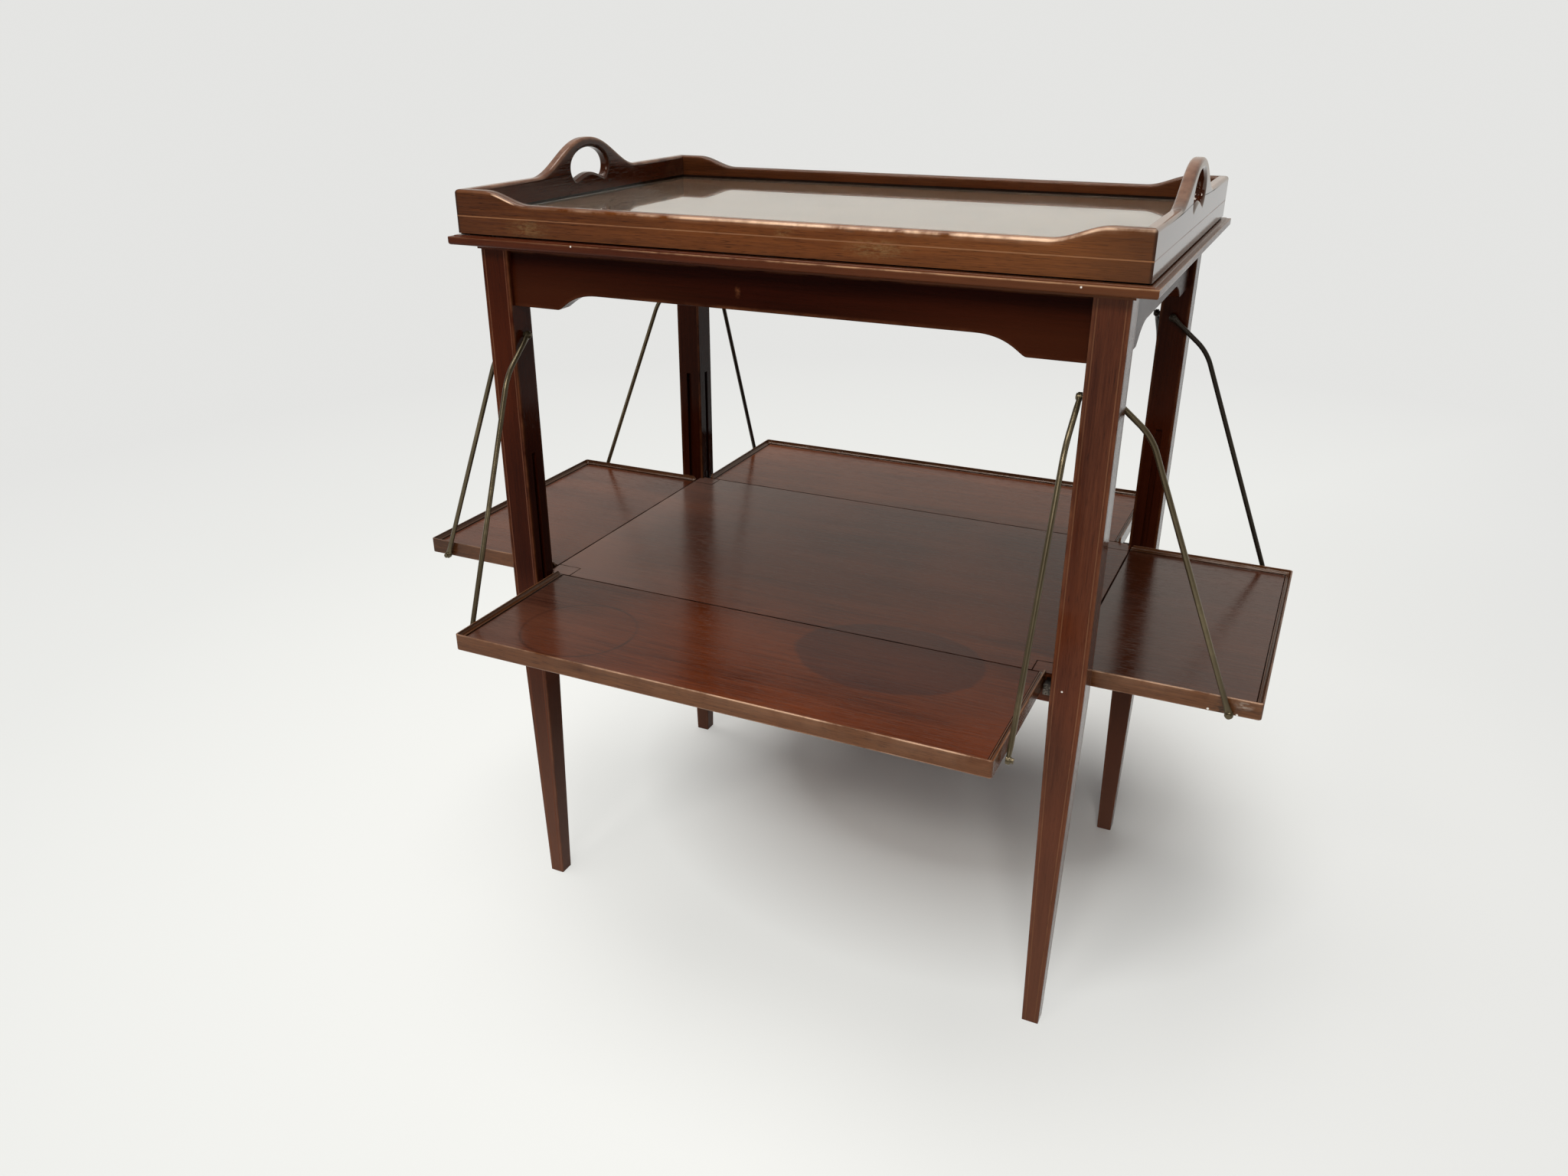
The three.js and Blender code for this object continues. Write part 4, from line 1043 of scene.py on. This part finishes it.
def handle_curves():
    """Right halves of the handle's two outlines, drawn as height over distance from its middle.

    The finger hole is half an ellipse that bends in below to a pointed corner, beside a low arch.
    The board's outline is a hump, a squared cosine that runs out at the rim's height, then the
    end and the foot. Both are read at matching places, so that lines between them never cross.
    """
    hole_corner = [hole_corner_reach, hole_corner_low]
    ellipse = quarter((0, hole_middle), (hole_half, hole_rise), 90, 0, 90)
    side = bezier([[hole_half, hole_middle], *hole_side_bends, hole_corner], 60)
    arch = bezier([hole_corner, *hole_arch_bends, [0, hole_arch_top]], 60)
    run = np.linspace(0, hump_half, 140)
    swell = np.cos(math.pi / 2 * (run / hump_half) ** hump_power) ** 2
    hump = np.column_stack([run, rim_height + hump_rise * swell])
    corner, foot, middle_foot = [tray_half_y, rim_height], [tray_half_y, -foot_drop], [0, -foot_drop]

    def read(curve, start, end, count):
        """Even steps along a drawn curve between two shares of its length, without the last point."""
        length = np.concatenate([[0], np.cumsum(np.linalg.norm(np.diff(curve, axis=0), axis=1))])
        wanted = np.linspace(start, end, count, endpoint=False) * length[-1]
        return np.column_stack([np.interp(wanted, length, curve[:, axis]) for axis in (0, 1)])

    rim = np.array([hump[-1], corner])
    end = np.array([corner, foot])
    sole = np.array([foot, middle_foot])
    counts = (30, 6, 6, 3, 8, 16)
    outer_stretches = (
        (hump, 0, 0.86), (hump, 0.86, 1), (rim, 0, 1), (end, 0, 1), (sole, 0, 0.87), (sole, 0.87, 1),
    )
    hole_stretches = (
        (ellipse, 0, 1), (side, 0, 0.25), (side, 0.25, 0.42),
        (side, 0.42, 0.62), (side, 0.62, 1), (arch, 0, 1),
    )
    outline = [read(*stretch, count) for stretch, count in zip(outer_stretches, counts)]
    outline = np.concatenate([*outline, [middle_foot]])
    hole = [read(*stretch, count) for stretch, count in zip(hole_stretches, counts)]
    hole = np.concatenate([*hole, [arch[-1]]])
    rounded = np.arange(len(outline)) <= sum(counts[:3])
    soled = np.arange(len(outline)) >= sum(counts[:4])
    return outline, hole, rounded, soled


def inward_normals(curve):
    """Unit normals of a half outline that runs clockwise from the top, pointing to its right hand side."""
    step = np.gradient(curve, axis=0)
    normal = np.column_stack([step[:, 1], -step[:, 0]])
    return normal / np.linalg.norm(normal, axis=1, keepdims=True)


def handle_shell():
    """An end board with its outer face towards -Y.

    Every column of the grid goes round the wood between outline and hole: out along the outer
    face, over the rounded upper edge, back along the inner face and through the rounded hole.
    Below, the upper edge's place is taken by the rebated foot, and the ends are cut to a mitre.
    """
    outline, hole, rounded, soled = handle_curves()
    steps = 7
    angle = np.linspace(0, math.pi / 2, steps)
    depth_first = board_round * (1 - np.cos(angle))
    drop_first = board_round * (1 - np.sin(angle))
    depth = np.concatenate([depth_first, board_thickness - depth_first[::-1]])
    drop = np.concatenate([drop_first, drop_first[::-1]])
    layers = len(depth)
    edge_normal = inward_normals(outline)
    edge_normal[~rounded] = 0
    edge_normal[0] = [0, -1]
    edge_normal[np.flatnonzero(rounded)[-1]] = [0, -1]
    edge = outline[:, None, :] + edge_normal[:, None, :] * drop[None, :, None]
    edge_depth = np.broadcast_to(depth, edge.shape[:2]).copy()
    rebate = board_thickness - rebate_width
    layer = np.arange(layers)
    rebate_layers = [0, 5, 9, layers - 1]
    sole_depth = np.interp(layer, rebate_layers, [0, rebate, rebate, board_thickness])
    sole_rise = np.interp(layer, rebate_layers, [-foot_drop, -foot_drop, floor_top, floor_top])
    edge_depth[soled] = sole_depth
    edge[soled, :, 1] = sole_rise
    hole_normal = -inward_normals(hole)
    hole_normal[0] = [0, 1]
    hole_normal[-1] = [0, -1]
    through = hole[:, None, :] + hole_normal[:, None, :] * drop[None, ::-1, None]
    through_depth = np.broadcast_to(depth[::-1], through.shape[:2])
    half = np.concatenate([edge, through], 1)
    half_depth = np.concatenate([edge_depth, through_depth], 1)
    points = np.dstack([half[..., 0], half_depth, half[..., 1]])
    reach = tray_half_y - glue_line - points[..., 1]
    points[..., 0] = np.minimum(points[..., 0], reach)
    other = points[1:-1][::-1] * np.array([-1, 1, 1])
    points = np.concatenate([points, other])
    # Painted shade: the finger hole's wear is below 0, which paints it dark.
    rubbed_edge, rubbed_face, hole_shade = 0.6, 0.2, -0.35
    rounding = np.where(drop < board_round * 0.98, rubbed_edge, rubbed_face)
    wear_line = np.concatenate([rounding, np.full(layers, hole_shade)])
    wear = np.broadcast_to(wear_line, points.shape[:2]).copy()
    points[..., 1] -= tray_half_x
    points[..., 2] += tray_bottom
    columns, size = points.shape[:2]
    column, point = np.meshgrid(np.arange(columns), np.arange(size), indexing="ij")
    here, next_point = column * size, (point + 1) % size
    beside = (column + 1) % columns * size
    quads = np.stack([here + point, here + next_point, beside + next_point, beside + point], -1)
    return points.reshape(-1, 3), quads.reshape(-1, 4).tolist(), wear.reshape(-1)


for side, turn in (("left", -math.pi / 2), ("right", math.pi / 2)):
    board = [turned_shell(handle_shell(), turn)]
    wood = end_woods[side]
    make_piece(f"tray_{side}_handle", board, "tray", wood, [f"tray_handle_{side}"])

for name, turn, half, out, material in (
    ("front", 0, tray_half_x, tray_half_y, string_gold),
    ("back", math.pi, tray_half_x, tray_half_y, string_gold),
    ("left", -math.pi / 2, tray_half_y, tray_half_x, string_end),
    ("right", math.pi / 2, tray_half_y, tray_half_x, string_end),
):
    end = half - glue_line
    path = [(-end, -out, tray_bottom + string_height), (end, -out, tray_bottom + string_height)]
    shell = turned_shell(strip(path, (0, 0, 1), (0, -1, 0), stringing_width), turn)
    make_piece(f"tray_stringing_{name}", [shell], "tray", material)


# Tray floor and glass
# A mahogany floor let into the boards' rebates, covered by a loose sheet of glass, on two bearers
# and four thin corner pads that hold the tray a few millimetres off the table top. The floor is
# painted pale as a painted reflection for the glass, and the pads near black as painted shade.
# Painted light: the floor's wood is painted far paler than mahogany, standing for the bright reflection in
# the glass over it.
floor_wood = polished_wood(
    "tray_floor_mahogany", along_x,
    (0.180, 0.105, 0.0720, 1), (0.37, 0.225, 0.160, 1), (0.31, 0.18, 0.115, 1), rubbed_brown,
    ribbon=0.4, glossy=0.3, dull=0.45,
)[0]
glass, tree, shader = new_material("tray_glass")
smudge = noise_node(tree, object_place(tree)[0], 9.0, 6.0, 0.7)
tree.links.new(remap(tree, smudge, 0.4, 0.7, 0.015, 0.06), shader.inputs["Roughness"])
glass_tint = mix_colour(tree, smudge, (0.93, 0.97, 0.95, 1), (0.90, 0.95, 0.93, 1))
tree.links.new(glass_tint, shader.inputs["Base Color"])
shader.inputs["Transmission Weight"].default_value = 1.0
shader.inputs["IOR"].default_value = 1.5


def finish_node(name, material):
    """A CAD node keeps its shape and gets a material in place of its own."""
    mesh = frame["nodes"][name].data
    mesh.materials.clear()
    mesh.materials.append(material)


# Painted shade: the corner pads are near black, to darken the gap under the tray.
pad_shade_dark = (0.004, 0.003, 0.002, 1)
pad_wood = polished_wood(
    "tray_pad", along_x, pad_shade_dark, pad_shade_dark, pad_shade_dark, pad_shade_dark, glossy=0.7, dull=0.8, sheen=0.05,
)[0]
pad_inset = 0.0015
pad_length = 0.034
pad_clearance = 0.0003
pad_ease = 0.0002
bearer_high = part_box("tray_bearer_right")[1]
for corner, signs in corners.items():
    far = (tray_half_x - pad_inset, tray_half_y - pad_inset, tray_bottom - foot_drop)
    near = (far[0] - pad_length, bearer_high.y + pad_clearance, top_high.z + pad_clearance)
    pad = mirrored_shell(block_shell(near, far, pad_ease), *signs)
    make_piece(f"tray_pad_{corner}", [pad], "tray", pad_wood)

finish_node("tray_floor", floor_wood)
finish_node("tray_glass", glass)
finish_node("tray_bearer_left", plain_wood)
finish_node("tray_bearer_right", plain_wood)


# Shelf
# One mahogany panel that slides between the legs. Blocks let into its corners carry iron guides,
# whose tongues run in the legs' slots, and strip hinges are let in under its four edges.
def eased_copy(node, name, body, material, ease, sharp=32):
    """A node's own shape with its sharp edges eased: a welded copy, bevelled where it turns sharply."""
    source = frame["nodes"][node]
    work = bmesh.new()
    work.from_mesh(source.data)
    weld_distance = 1e-5
    flat_angle = math.radians(1)
    bmesh.ops.remove_doubles(work, verts=work.verts, dist=weld_distance)
    bmesh.ops.dissolve_limit(work, angle_limit=flat_angle, verts=work.verts, edges=work.edges)
    mesh = bpy.data.meshes.new(name)
    work.to_mesh(mesh)
    work.free()
    piece = new_object(name, mesh, material)
    bevel = piece.modifiers.new("eased_edges", "BEVEL")
    bevel.limit_method = "ANGLE"
    bevel.angle_limit = math.radians(sharp)
    bevel.width = ease
    bevel.segments = 3
    bevel.miter_outer = "MITER_ARC"
    bevel.harden_normals = False
    shading = piece.modifiers.new("flat_faces_stay_flat", "WEIGHTED_NORMAL")
    shading.keep_sharp = False
    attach(piece, body)
    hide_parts(node)
    return piece


def innermost(corner, shift):
    """The X and Y of a box's corner, moved outwards by a shift."""
    return corner.x + shift, corner.y + shift


# Stains: the ring of a wet glass on the front leaf, and a dark oval across its seam.
ring_centre = (-0.1754, -0.2920, 0)
ring_radius = 0.0591
ring_colour = (0.018, 0.006, 0.004, 1)
stain_centre = (0.130, -0.215, 0)
stain_reach = (0.095, 0.070, 1)
stain_colour = (0.020, 0.0085, 0.0085, 1)
marks_inputs = {"Where": "vector", "Color": "colour"}
marks_group, inside, outside = new_group("stains", marks_inputs, {"Color": "colour"})
waver = noise_node(marks_group, inside["Where"], 16.0, 3.0)
flat = add_node(marks_group, "ShaderNodeMapping", {"Vector": inside["Where"], "Scale": (1, 1, 0)}).outputs[0]
ring_distance = vector_node(marks_group, "DISTANCE", flat, ring_centre, "Value")
ring_offset = math_node(marks_group, "ABSOLUTE", subtract(marks_group, ring_distance, ring_radius))
ring_mark = remap(marks_group, ring_offset, 0.0003, 0.0026, 0.7, 0.0)
ring_mark = multiply(marks_group, ring_mark, remap(marks_group, waver, 0.38, 0.6, 0.35, 1.0))
stain_place = vector_node(marks_group, "SUBTRACT", flat, stain_centre)
stain_place = vector_node(marks_group, "DIVIDE", stain_place, stain_reach)
stain_distance = vector_node(marks_group, "LENGTH", stain_place, output="Value")
stain_waver = multiply(marks_group, subtract(marks_group, waver, 0.5), 0.16)
stain_distance = math_node(marks_group, "ADD", stain_distance, stain_waver)
stain_mark = remap(marks_group, stain_distance, 0.975, 1.02, 0.5, 0.0)
stained = mix_colour(marks_group, stain_mark, inside["Color"], stain_colour)
stained = mix_colour(marks_group, ring_mark, stained, ring_colour)
marks_group.links.new(stained, outside.inputs["Color"])

# Joints: dark lines in the four seams, and thinner ones round the blocks let into the corners.
seam_half_gap = 0.0004
joint_half = 0.0007
block_line_thinner = 0.0004
joint_depth = 0.0006
joint_colour = (0.014, 0.003, 0.0015, 1)
seam_x, seam_y = innermost(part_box("shelf_panel")[1], seam_half_gap)
block_x, block_y = innermost(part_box("guide_block_back_right")[0], -glue_line / 2)
joints_group, inside, outside = new_group(
    "joint_lines", {"Where": "vector", "Color": "colour", "Dullness": "value"},
    {"Color": "colour", "Roughness": "value", "Metallic": "value"},
)
place = add_node(joints_group, "ShaderNodeSeparateXYZ", {"Vector": inside["Where"]}).outputs
across = math_node(joints_group, "ABSOLUTE", place["X"])
along = math_node(joints_group, "ABSOLUTE", place["Y"])


def line_distance(value, line):
    """How far a value lies from a line."""
    return math_node(joints_group, "ABSOLUTE", subtract(joints_group, value, line))


def larger(first, second):
    """The larger of two values."""
    return math_node(joints_group, "MAXIMUM", first, second)


def smaller(first, second):
    """The smaller of two values."""
    return math_node(joints_group, "MINIMUM", first, second)


seam_distance = smaller(line_distance(across, seam_x), line_distance(along, seam_y))
block_end = larger(line_distance(along, block_y), subtract(joints_group, block_x, across))
block_side = larger(line_distance(across, block_x), subtract(joints_group, block_y, along))
block_distance = math_node(joints_group, "ADD", smaller(block_end, block_side), block_line_thinner)
off_shelf = larger(subtract(joints_group, across, seam_x), subtract(joints_group, along, seam_y))
block_distance = larger(block_distance, remap(joints_group, off_shelf, 0.0, 0.0002))
joint = remap(joints_group, smaller(seam_distance, block_distance), joint_half, 2 * joint_half, 1.0, 0.0)
joint_noise = noise_node(joints_group, inside["Where"], 40.0, 3.0)
joint = multiply(joints_group, joint, remap(joints_group, joint_noise, 0.35, 0.6, 0.6, 1.0))
surface_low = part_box("shelf_panel")[1].z - joint_depth
joint = multiply(joints_group, joint, math_node(joints_group, "GREATER_THAN", place["Z"], surface_low))
lined_colour = mix_colour(joints_group, joint, inside["Color"], joint_colour)
joints_group.links.new(lined_colour, outside.inputs["Color"])
joints_group.links.new(larger(inside["Dullness"], joint), outside.inputs["Roughness"])
joints_group.links.new(joint, outside.inputs["Metallic"])


def mark_panel(tree, shader, colour):
    """Lays the stains and the joint lines over the wood of a panel."""
    spot = object_place(tree)[0]
    stained = use_group(tree, marks_group, {"Where": spot, "Color": colour})["Color"]
    dullness = shader.inputs["Roughness"].links[0].from_socket
    lined = use_group(tree, joints_group, {"Where": spot, "Color": stained, "Dullness": dullness})
    tree.links.new(lined["Color"], shader.inputs["Base Color"])
    tree.links.new(lined["Roughness"], shader.inputs["Roughness"])
    tree.links.new(lined["Metallic"], shader.inputs["Metallic"])


shelf_light = (0.130, 0.0310, 0.0092, 1)
shelf_warm = (0.145, 0.0330, 0.0085, 1)
shelf_left_reflection = (0.26, 0.20, 0.17, 1)
shelf_wood, tree, shader, colour = polished_wood(
    "shelf_mahogany", along_x, deep, shelf_light, shelf_warm, rubbed_brown,
    ribbon=0.42, pores=0.45, glossy=0.10, dull=0.20, sheen=0.17,
)
place = object_place(tree)[1]
# Painted reflection: the shelf is painted paler and greyer towards its left end.
colour = mix_colour(tree, remap(tree, place["X"], -0.26, -0.06, 0.25, 0.0), colour, shelf_left_reflection)
mark_panel(tree, shader, colour)
iron = metal(
    "iron", (0.012, 0.010, 0.009, 1), (0.040, 0.034, 0.030, 1), (0.28, 0.24, 0.20, 1), 0.32, 0.6, 60,
)
hinge_brass = metal(
    "hinge_brass", (0.10, 0.07, 0.035, 1), (0.32, 0.23, 0.11, 1), (0.55, 0.43, 0.24, 1), 0.3, 0.5, 34,
)
panel_ease = 0.0004
iron_ease = 0.0005
eased_copy("shelf_panel", "shelf_board", "shelf", shelf_wood, panel_ease)
for corner in corners:
    block, bracket = f"guide_block_{corner}", f"guide_bracket_{corner}"
    eased_copy(block, f"shelf_block_{corner}", "shelf", shelf_wood, panel_ease)
    eased_copy(bracket, f"shelf_guide_{corner}", "shelf", iron, iron_ease)
for side in ("right", "back", "left", "front"):
    finish_node(f"hinge_shelf_strip_{side}", hinge_brass)
    finish_node(f"hinge_leaf_strip_{side}", hinge_brass)


# Leaves
# Four mahogany panels hinged to the shelf. Each has a raised lip of three mouldings, mitred at
# the outer corners, with a quirk beside the panel and blunt ends eased down at the seam.
lip_width = 0.007
lip_rise = 0.005
lip_quirk = 0.0007
crown_width = 0.0017
crown_round = 0.0006
bead_radius = 0.0008
bead_rise = 0.0015
foot_round = 0.0012
corner_round = 0.003
lip_end_run = 0.003
lip_end_drop = 0.0034
panel_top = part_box("shelf_panel")[1].z
panel_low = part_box("shelf_panel")[0].z


def lip_section(drop, steps=6):
    """Section of a lip from the panel outwards: distances from its inner edge, heights and wear.

    A quirk and a bead lie beside the panel, a hollow cove rises to a narrow crown, and the outer
    face ends in an eased foot. A drop lowers all that stands above the panel by the same share.
    """
    share = 1 - drop / lip_rise
    bead_base = bead_rise - bead_radius
    bead_middle = lip_quirk + bead_radius
    cove_start = bead_middle + bead_radius
    cove_run = lip_width - crown_width - cove_start
    low = panel_low - panel_top
    bead = quarter((bead_middle, bead_base * share), (bead_radius, bead_radius * share), 180, 0, 2 * steps)
    cove_radii = (cove_run, (lip_rise - bead_base) * share)
    cove = quarter((cove_start, lip_rise * share), cove_radii, -90, 0, 2 * steps)
    crown_foot = lip_rise * share - crown_round
    crown = quarter((lip_width - crown_round, crown_foot), (crown_round, crown_round), 90, 0, steps)
    foot = quarter((lip_width - foot_round, low + foot_round), (foot_round, foot_round), 0, -90, 4)
    section = np.concatenate([
        [[-glue_line, low], [-glue_line, -lip_quirk - glue_line], [lip_quirk, 0]], bead, cove[1:], crown,
        [crown[-1] - [0, crown_round], foot[0] + [0, crown_round]], foot,
    ])
    section[:, 1] += panel_top
    # Wear below 0 paints shade into the quirk, the bead and the cove; the crown is painted pale.
    wear = np.concatenate([
        [-0.8, -1, -0.8], np.interp(np.linspace(-1, 1, len(bead)), [-1, 0, 1], [-0.7, -0.1, -0.75]),
        np.linspace(-0.6, -0.1, len(cove) - 1), np.ones(len(crown)), [0.1, 0], np.full(len(foot), 0.4),
    ])
    return section, wear


lip_line, lip_wear = lip_section(0)
end_line = lip_section(lip_end_drop)[0]
corner_angle = np.linspace(0, math.pi / 4, 5)[:, None]
lip_out = lip_line[:, 0]
set_back = corner_round * np.maximum(lip_out, 0) / lip_width
beside_corner = lip_out - set_back * (1 - np.cos(corner_angle))
round_corner = lip_out - set_back * (1 - np.sin(corner_angle))


def lip_rings(x, y, line=lip_line):
    """Rings of a lip: the section's heights over given places in plan."""
    x, y = np.atleast_2d(x), np.atleast_2d(y)
    x, y, z = np.broadcast_arrays(x, y, line[:, 1])
    return np.dstack([x, y, z])


def outer_lip_shell(edge, end):
    """The lip along a leaf's outer edge, from mitre to mitre round half of each corner."""
    half = lip_rings(edge + beside_corner, end + round_corner)
    return skin(np.concatenate([half[::-1] * [1, -1, 1], half]), lip_wear)


def end_lip_shell(near, edge, end, sign):
    """The lip along a leaf's end, from its eased blunt end at the seam to the mitre."""
    rings = np.concatenate([
        lip_rings(near, end + lip_out, end_line), lip_rings(near + lip_end_run, end + lip_out),
        lip_rings(edge + round_corner, end + beside_corner),
    ])
    return skin(rings * [1, sign, 1], lip_wear)


lip_dark = (0.050, 0.0150, 0.0052, 1)
lip_light = (0.165, 0.064, 0.0240, 1)
lip_warm = (0.130, 0.042, 0.0125, 1)
lip_arris_highlight = (0.50, 0.30, 0.19, 1)
lip_left_shade = (0.45, 0.42, 0.42, 1)
lip_flecks = [(0.4220, -0.1667, 0.3960), (0.4473, -0.1667, 0.3953), (0.2790, -0.2020, 0.4000)]
lip_fleck_radius = 0.0013
lip_woods = {}
# The lips' crowns are painted pale, strongly on the right and faintly on the left: a painted highlight along
# with wear.
for name, turn, lip_highlight_right, lip_highlight_left in (("x", along_x, 1.5, 0.3), ("y", along_y, 0.25, 0.15)):
    lip_woods[name], tree, shader, colour = polished_wood(
        f"lip_mahogany_{name}", turn, lip_dark, lip_light, lip_warm, lip_arris_highlight,
        ribbon=0.3, pores=0.7, glossy=0.12, dull=0.22, sheen=0.3,
        wear=lip_highlight_right, wear_left=lip_highlight_left,
    )
    spot, place = object_place(tree)
    shaded = mix_colour(tree, 1.0, colour, lip_left_shade, "MULTIPLY")
    colour = mix_colour(tree, remap(tree, place["X"], -0.44, -0.36, 0.9, 0.25), colour, shaded)
    for centre, reach, paint, share in (
        ((0.436, -0.1667, 0.397), (0.016, 0.006, 0.012), (0.012, 0.009, 0.006, 1), 0.9),
        ((0.452, -0.1667, 0.4057), (0.010, 0.006, 0.005), (0.42, 0.36, 0.30, 1), 0.6),
    ):
        colour = use_group(tree, patch_group, {
            "Where": spot, "Centre": centre, "Reach": reach, "Color": colour, "Paint": paint, "Share": share,
        })["Color"]
    add_specks(tree, shader, colour, lip_flecks, paint_fleck, lip_fleck_radius)

side_turns = {"right": 0, "back": math.pi / 2, "left": math.pi, "front": -math.pi / 2}
leaf_looks = {
    "right": ((0.026, 0.0060, 0.0026, 1), (0.085, 0.0240, 0.0100, 1), 0.34, (1, 0.97, 0.92, 1)),
    "back": ((0.044, 0.0095, 0.0034, 1), (0.165, 0.0450, 0.0150, 1), 0.14, (1, 0.90, 0.80, 1)),
    "left": ((0.030, 0.0066, 0.0028, 1), (0.105, 0.0300, 0.0120, 1), 0.18, (1, 0.92, 0.84, 1)),
    "front": ((0.026, 0.0042, 0.0014, 1), (0.130, 0.0290, 0.0085, 1), 0.14, (1, 0.84, 0.70, 1)),
}
front_left_reflection = (0.64, 1.15, 2.4, 1)
front_right_shade = (0.85, 0.85, 0.90, 1)
for side, turn in side_turns.items():
    low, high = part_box(f"leaf_lip_{side}")
    out, beside = (1, 0) if side in ("back", "front") else (0, 1)
    near, far = sorted((abs(low[out]), abs(high[out])))
    edge, end = far - lip_width, high[beside] - lip_width
    body = f"leaf_{side}"
    outer = [turned_shell(outer_lip_shell(edge, end), turn)]
    outer_wood, end_wood = lip_woods["xy"[beside]], lip_woods["xy"[out]]
    make_piece(f"leaf_{side}_outer_lip", outer, body, outer_wood, [f"leaf_lip_{side}"])
    ends = [turned_shell(end_lip_shell(near, edge, end, sign), turn) for sign in (-1, 1)]
    make_piece(f"leaf_{side}_end_lips", ends, body, end_wood)
    leaf_dark, leaf_light, leaf_sheen, leaf_tint = leaf_looks[side]
    leaf_wood, tree, shader, colour = polished_wood(
        f"leaf_mahogany_{side}", along_x, leaf_dark, leaf_light, leaf_light, rubbed_brown,
        ribbon=0.42, pores=0.5, glossy=0.08, dull=0.14, sheen=leaf_sheen, tint=leaf_tint,
    )
    if side == "front":
        place = object_place(tree)[1]
        # Painted reflection: towards its left end the front leaf is painted less red and greyer.
        reflected = mix_colour(tree, 1.0, colour, front_left_reflection, "MULTIPLY")
        colour = mix_colour(tree, remap(tree, place["X"], -0.28, -0.08, 1.0, 0.0), colour, reflected)
        shaded = mix_colour(tree, 1.0, colour, front_right_shade, "MULTIPLY")
        colour = mix_colour(tree, remap(tree, place["X"], 0.10, 0.20), colour, shaded)
    mark_panel(tree, shader, colour)
    eased_copy(f"leaf_panel_{side}", f"leaf_{side}_board", body, leaf_wood, panel_ease)


# Rods
# Eight cranked brass rods hold the leaves up. Each hangs from a pivot screw in a leg's inner face,
# bends outwards and runs down to a screw in the end of its leaf, flattened to an eye at both ends.
rod_radius = 0.0026
rod_bend_out = 0.040
rod_bend_drop = 0.033
rod_bend_radius = 0.060
eye_radius = 0.004
eye_thickness = 0.004
eye_ease = 0.0005
neck_length = 0.012
neck_shares = (0.2, 0.55, 1)
neck_flatness = 0.45
neck_width_share = 0.9


def rod_path(pin):
    """Centre line from the pivot at the origin to the leaf pin: a short arm, a round bend and a long arm."""
    corner = np.array([rod_bend_out, -rod_bend_drop])
    short = corner / np.linalg.norm(corner)
    long = (pin - corner) / np.linalg.norm(pin - corner)
    bend = math.acos(float(short @ long))
    tangent = rod_bend_radius * math.tan(bend / 2)
    middle = corner + (long - short) / np.linalg.norm(long - short) * rod_bend_radius / math.cos(bend / 2)
    start, end = corner - short * tangent, corner + long * tangent
    first = math.atan2(*(start - middle)[::-1])
    last = math.atan2(*(end - middle)[::-1])
    angle = np.linspace(first, last, 17)
    arc = middle + rod_bend_radius * np.column_stack([np.cos(angle), np.sin(angle)])
    neck = neck_length * np.array(neck_shares)
    upper = neck[:, None] * short
    lower = pin - neck[::-1, None] * long
    return np.concatenate([upper, arc, lower])


def rod_shell(pin):
    """A round bar carried along the rod's line, drawn out wide and thin towards the eyes at both ends."""
    path = rod_path(pin)
    step = np.gradient(path, axis=0)
    step /= np.linalg.norm(step, axis=1, keepdims=True)
    side = np.column_stack([step[:, 1], -step[:, 0]])
    flat = np.zeros(len(path))
    flat[[0, -1]] = 1
    flat[[1, -2]] = neck_flatness
    wide = rod_radius + flat * (eye_radius * neck_width_share - rod_radius)
    thin = rod_radius + flat * (eye_thickness / 2 - rod_radius)
    angle = np.linspace(0, 2 * math.pi, 20, endpoint=False)
    rings = np.zeros((len(path), len(angle), 3))
    rings[..., 0] = path[:, :1] + side[:, :1] * wide[:, None] * np.cos(angle)
    rings[..., 2] = path[:, 1:] + side[:, 1:] * wide[:, None] * np.cos(angle)
    rings[..., 1] = thin[:, None] * np.sin(angle)
    return skin(rings)


eye_half = eye_thickness / 2
eye_flat = eye_radius - eye_ease
eye_side = eye_half - eye_ease
eye = [
    (pole_radius, -eye_half), (eye_flat, -eye_half), (eye_radius, -eye_side),
    (eye_radius, eye_side), (eye_flat, eye_half), (pole_radius, eye_half),
]
for side, turn in side_turns.items():
    for node in [name for name in frame["nodes"] if name.startswith(f"rod_{side}_")]:
        joint = next(j for j in frame["joints"] if j["child"] == node)
        unturn = upright_turn(-turn)
        local = unturn @ np.array(joint["pos_m"])
        end = np.sign(local[1])
        rod_box = np.array([[*corner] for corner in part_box(node)]) @ unturn.T
        reach = np.abs(rod_box[:, 0]).max() - eye_radius
        pin = np.array([reach - local[0], rod_box[:, 2].min() + eye_radius - local[2]])
        pin_place = (pin[0], 0, pin[1])
        collar_end = abs(local[1]) - np.abs(rod_box[:, 1]).min()
        collar = [
            (pole_radius, 0), (screw_collar_radius, 0),
            (screw_collar_radius, collar_end), (pole_radius, collar_end),
        ]
        crown = screw_head(eye_half, eye_half + screw_head_height)[1:]
        head = [(pole_radius, 0), (screw_head_radius, 0)] + crown
        eyes = [turned_profile(eye, place, (0, 1, 0)) for place in ((0, 0, 0), pin_place)]
        rod_shells = [rod_shell(pin)] + eyes
        screw_shells = [turned_profile(profile, pin_place, (0, 1, 0)) for profile in (collar, head)]
        brass = shaded_brass if node.endswith(shaded_rods) else rod_brass
        for name, shells, replaced in (("bar", rod_shells, [node]), ("leaf_screw", screw_shells, ())):
            placed = [turned_shell(mirrored_shell(shell, 1, end), 0, local) for shell in shells]
            placed = [turned_shell(shell, turn) for shell in placed]
            make_piece(f"{node}_{name}", placed, node, brass, replaced)
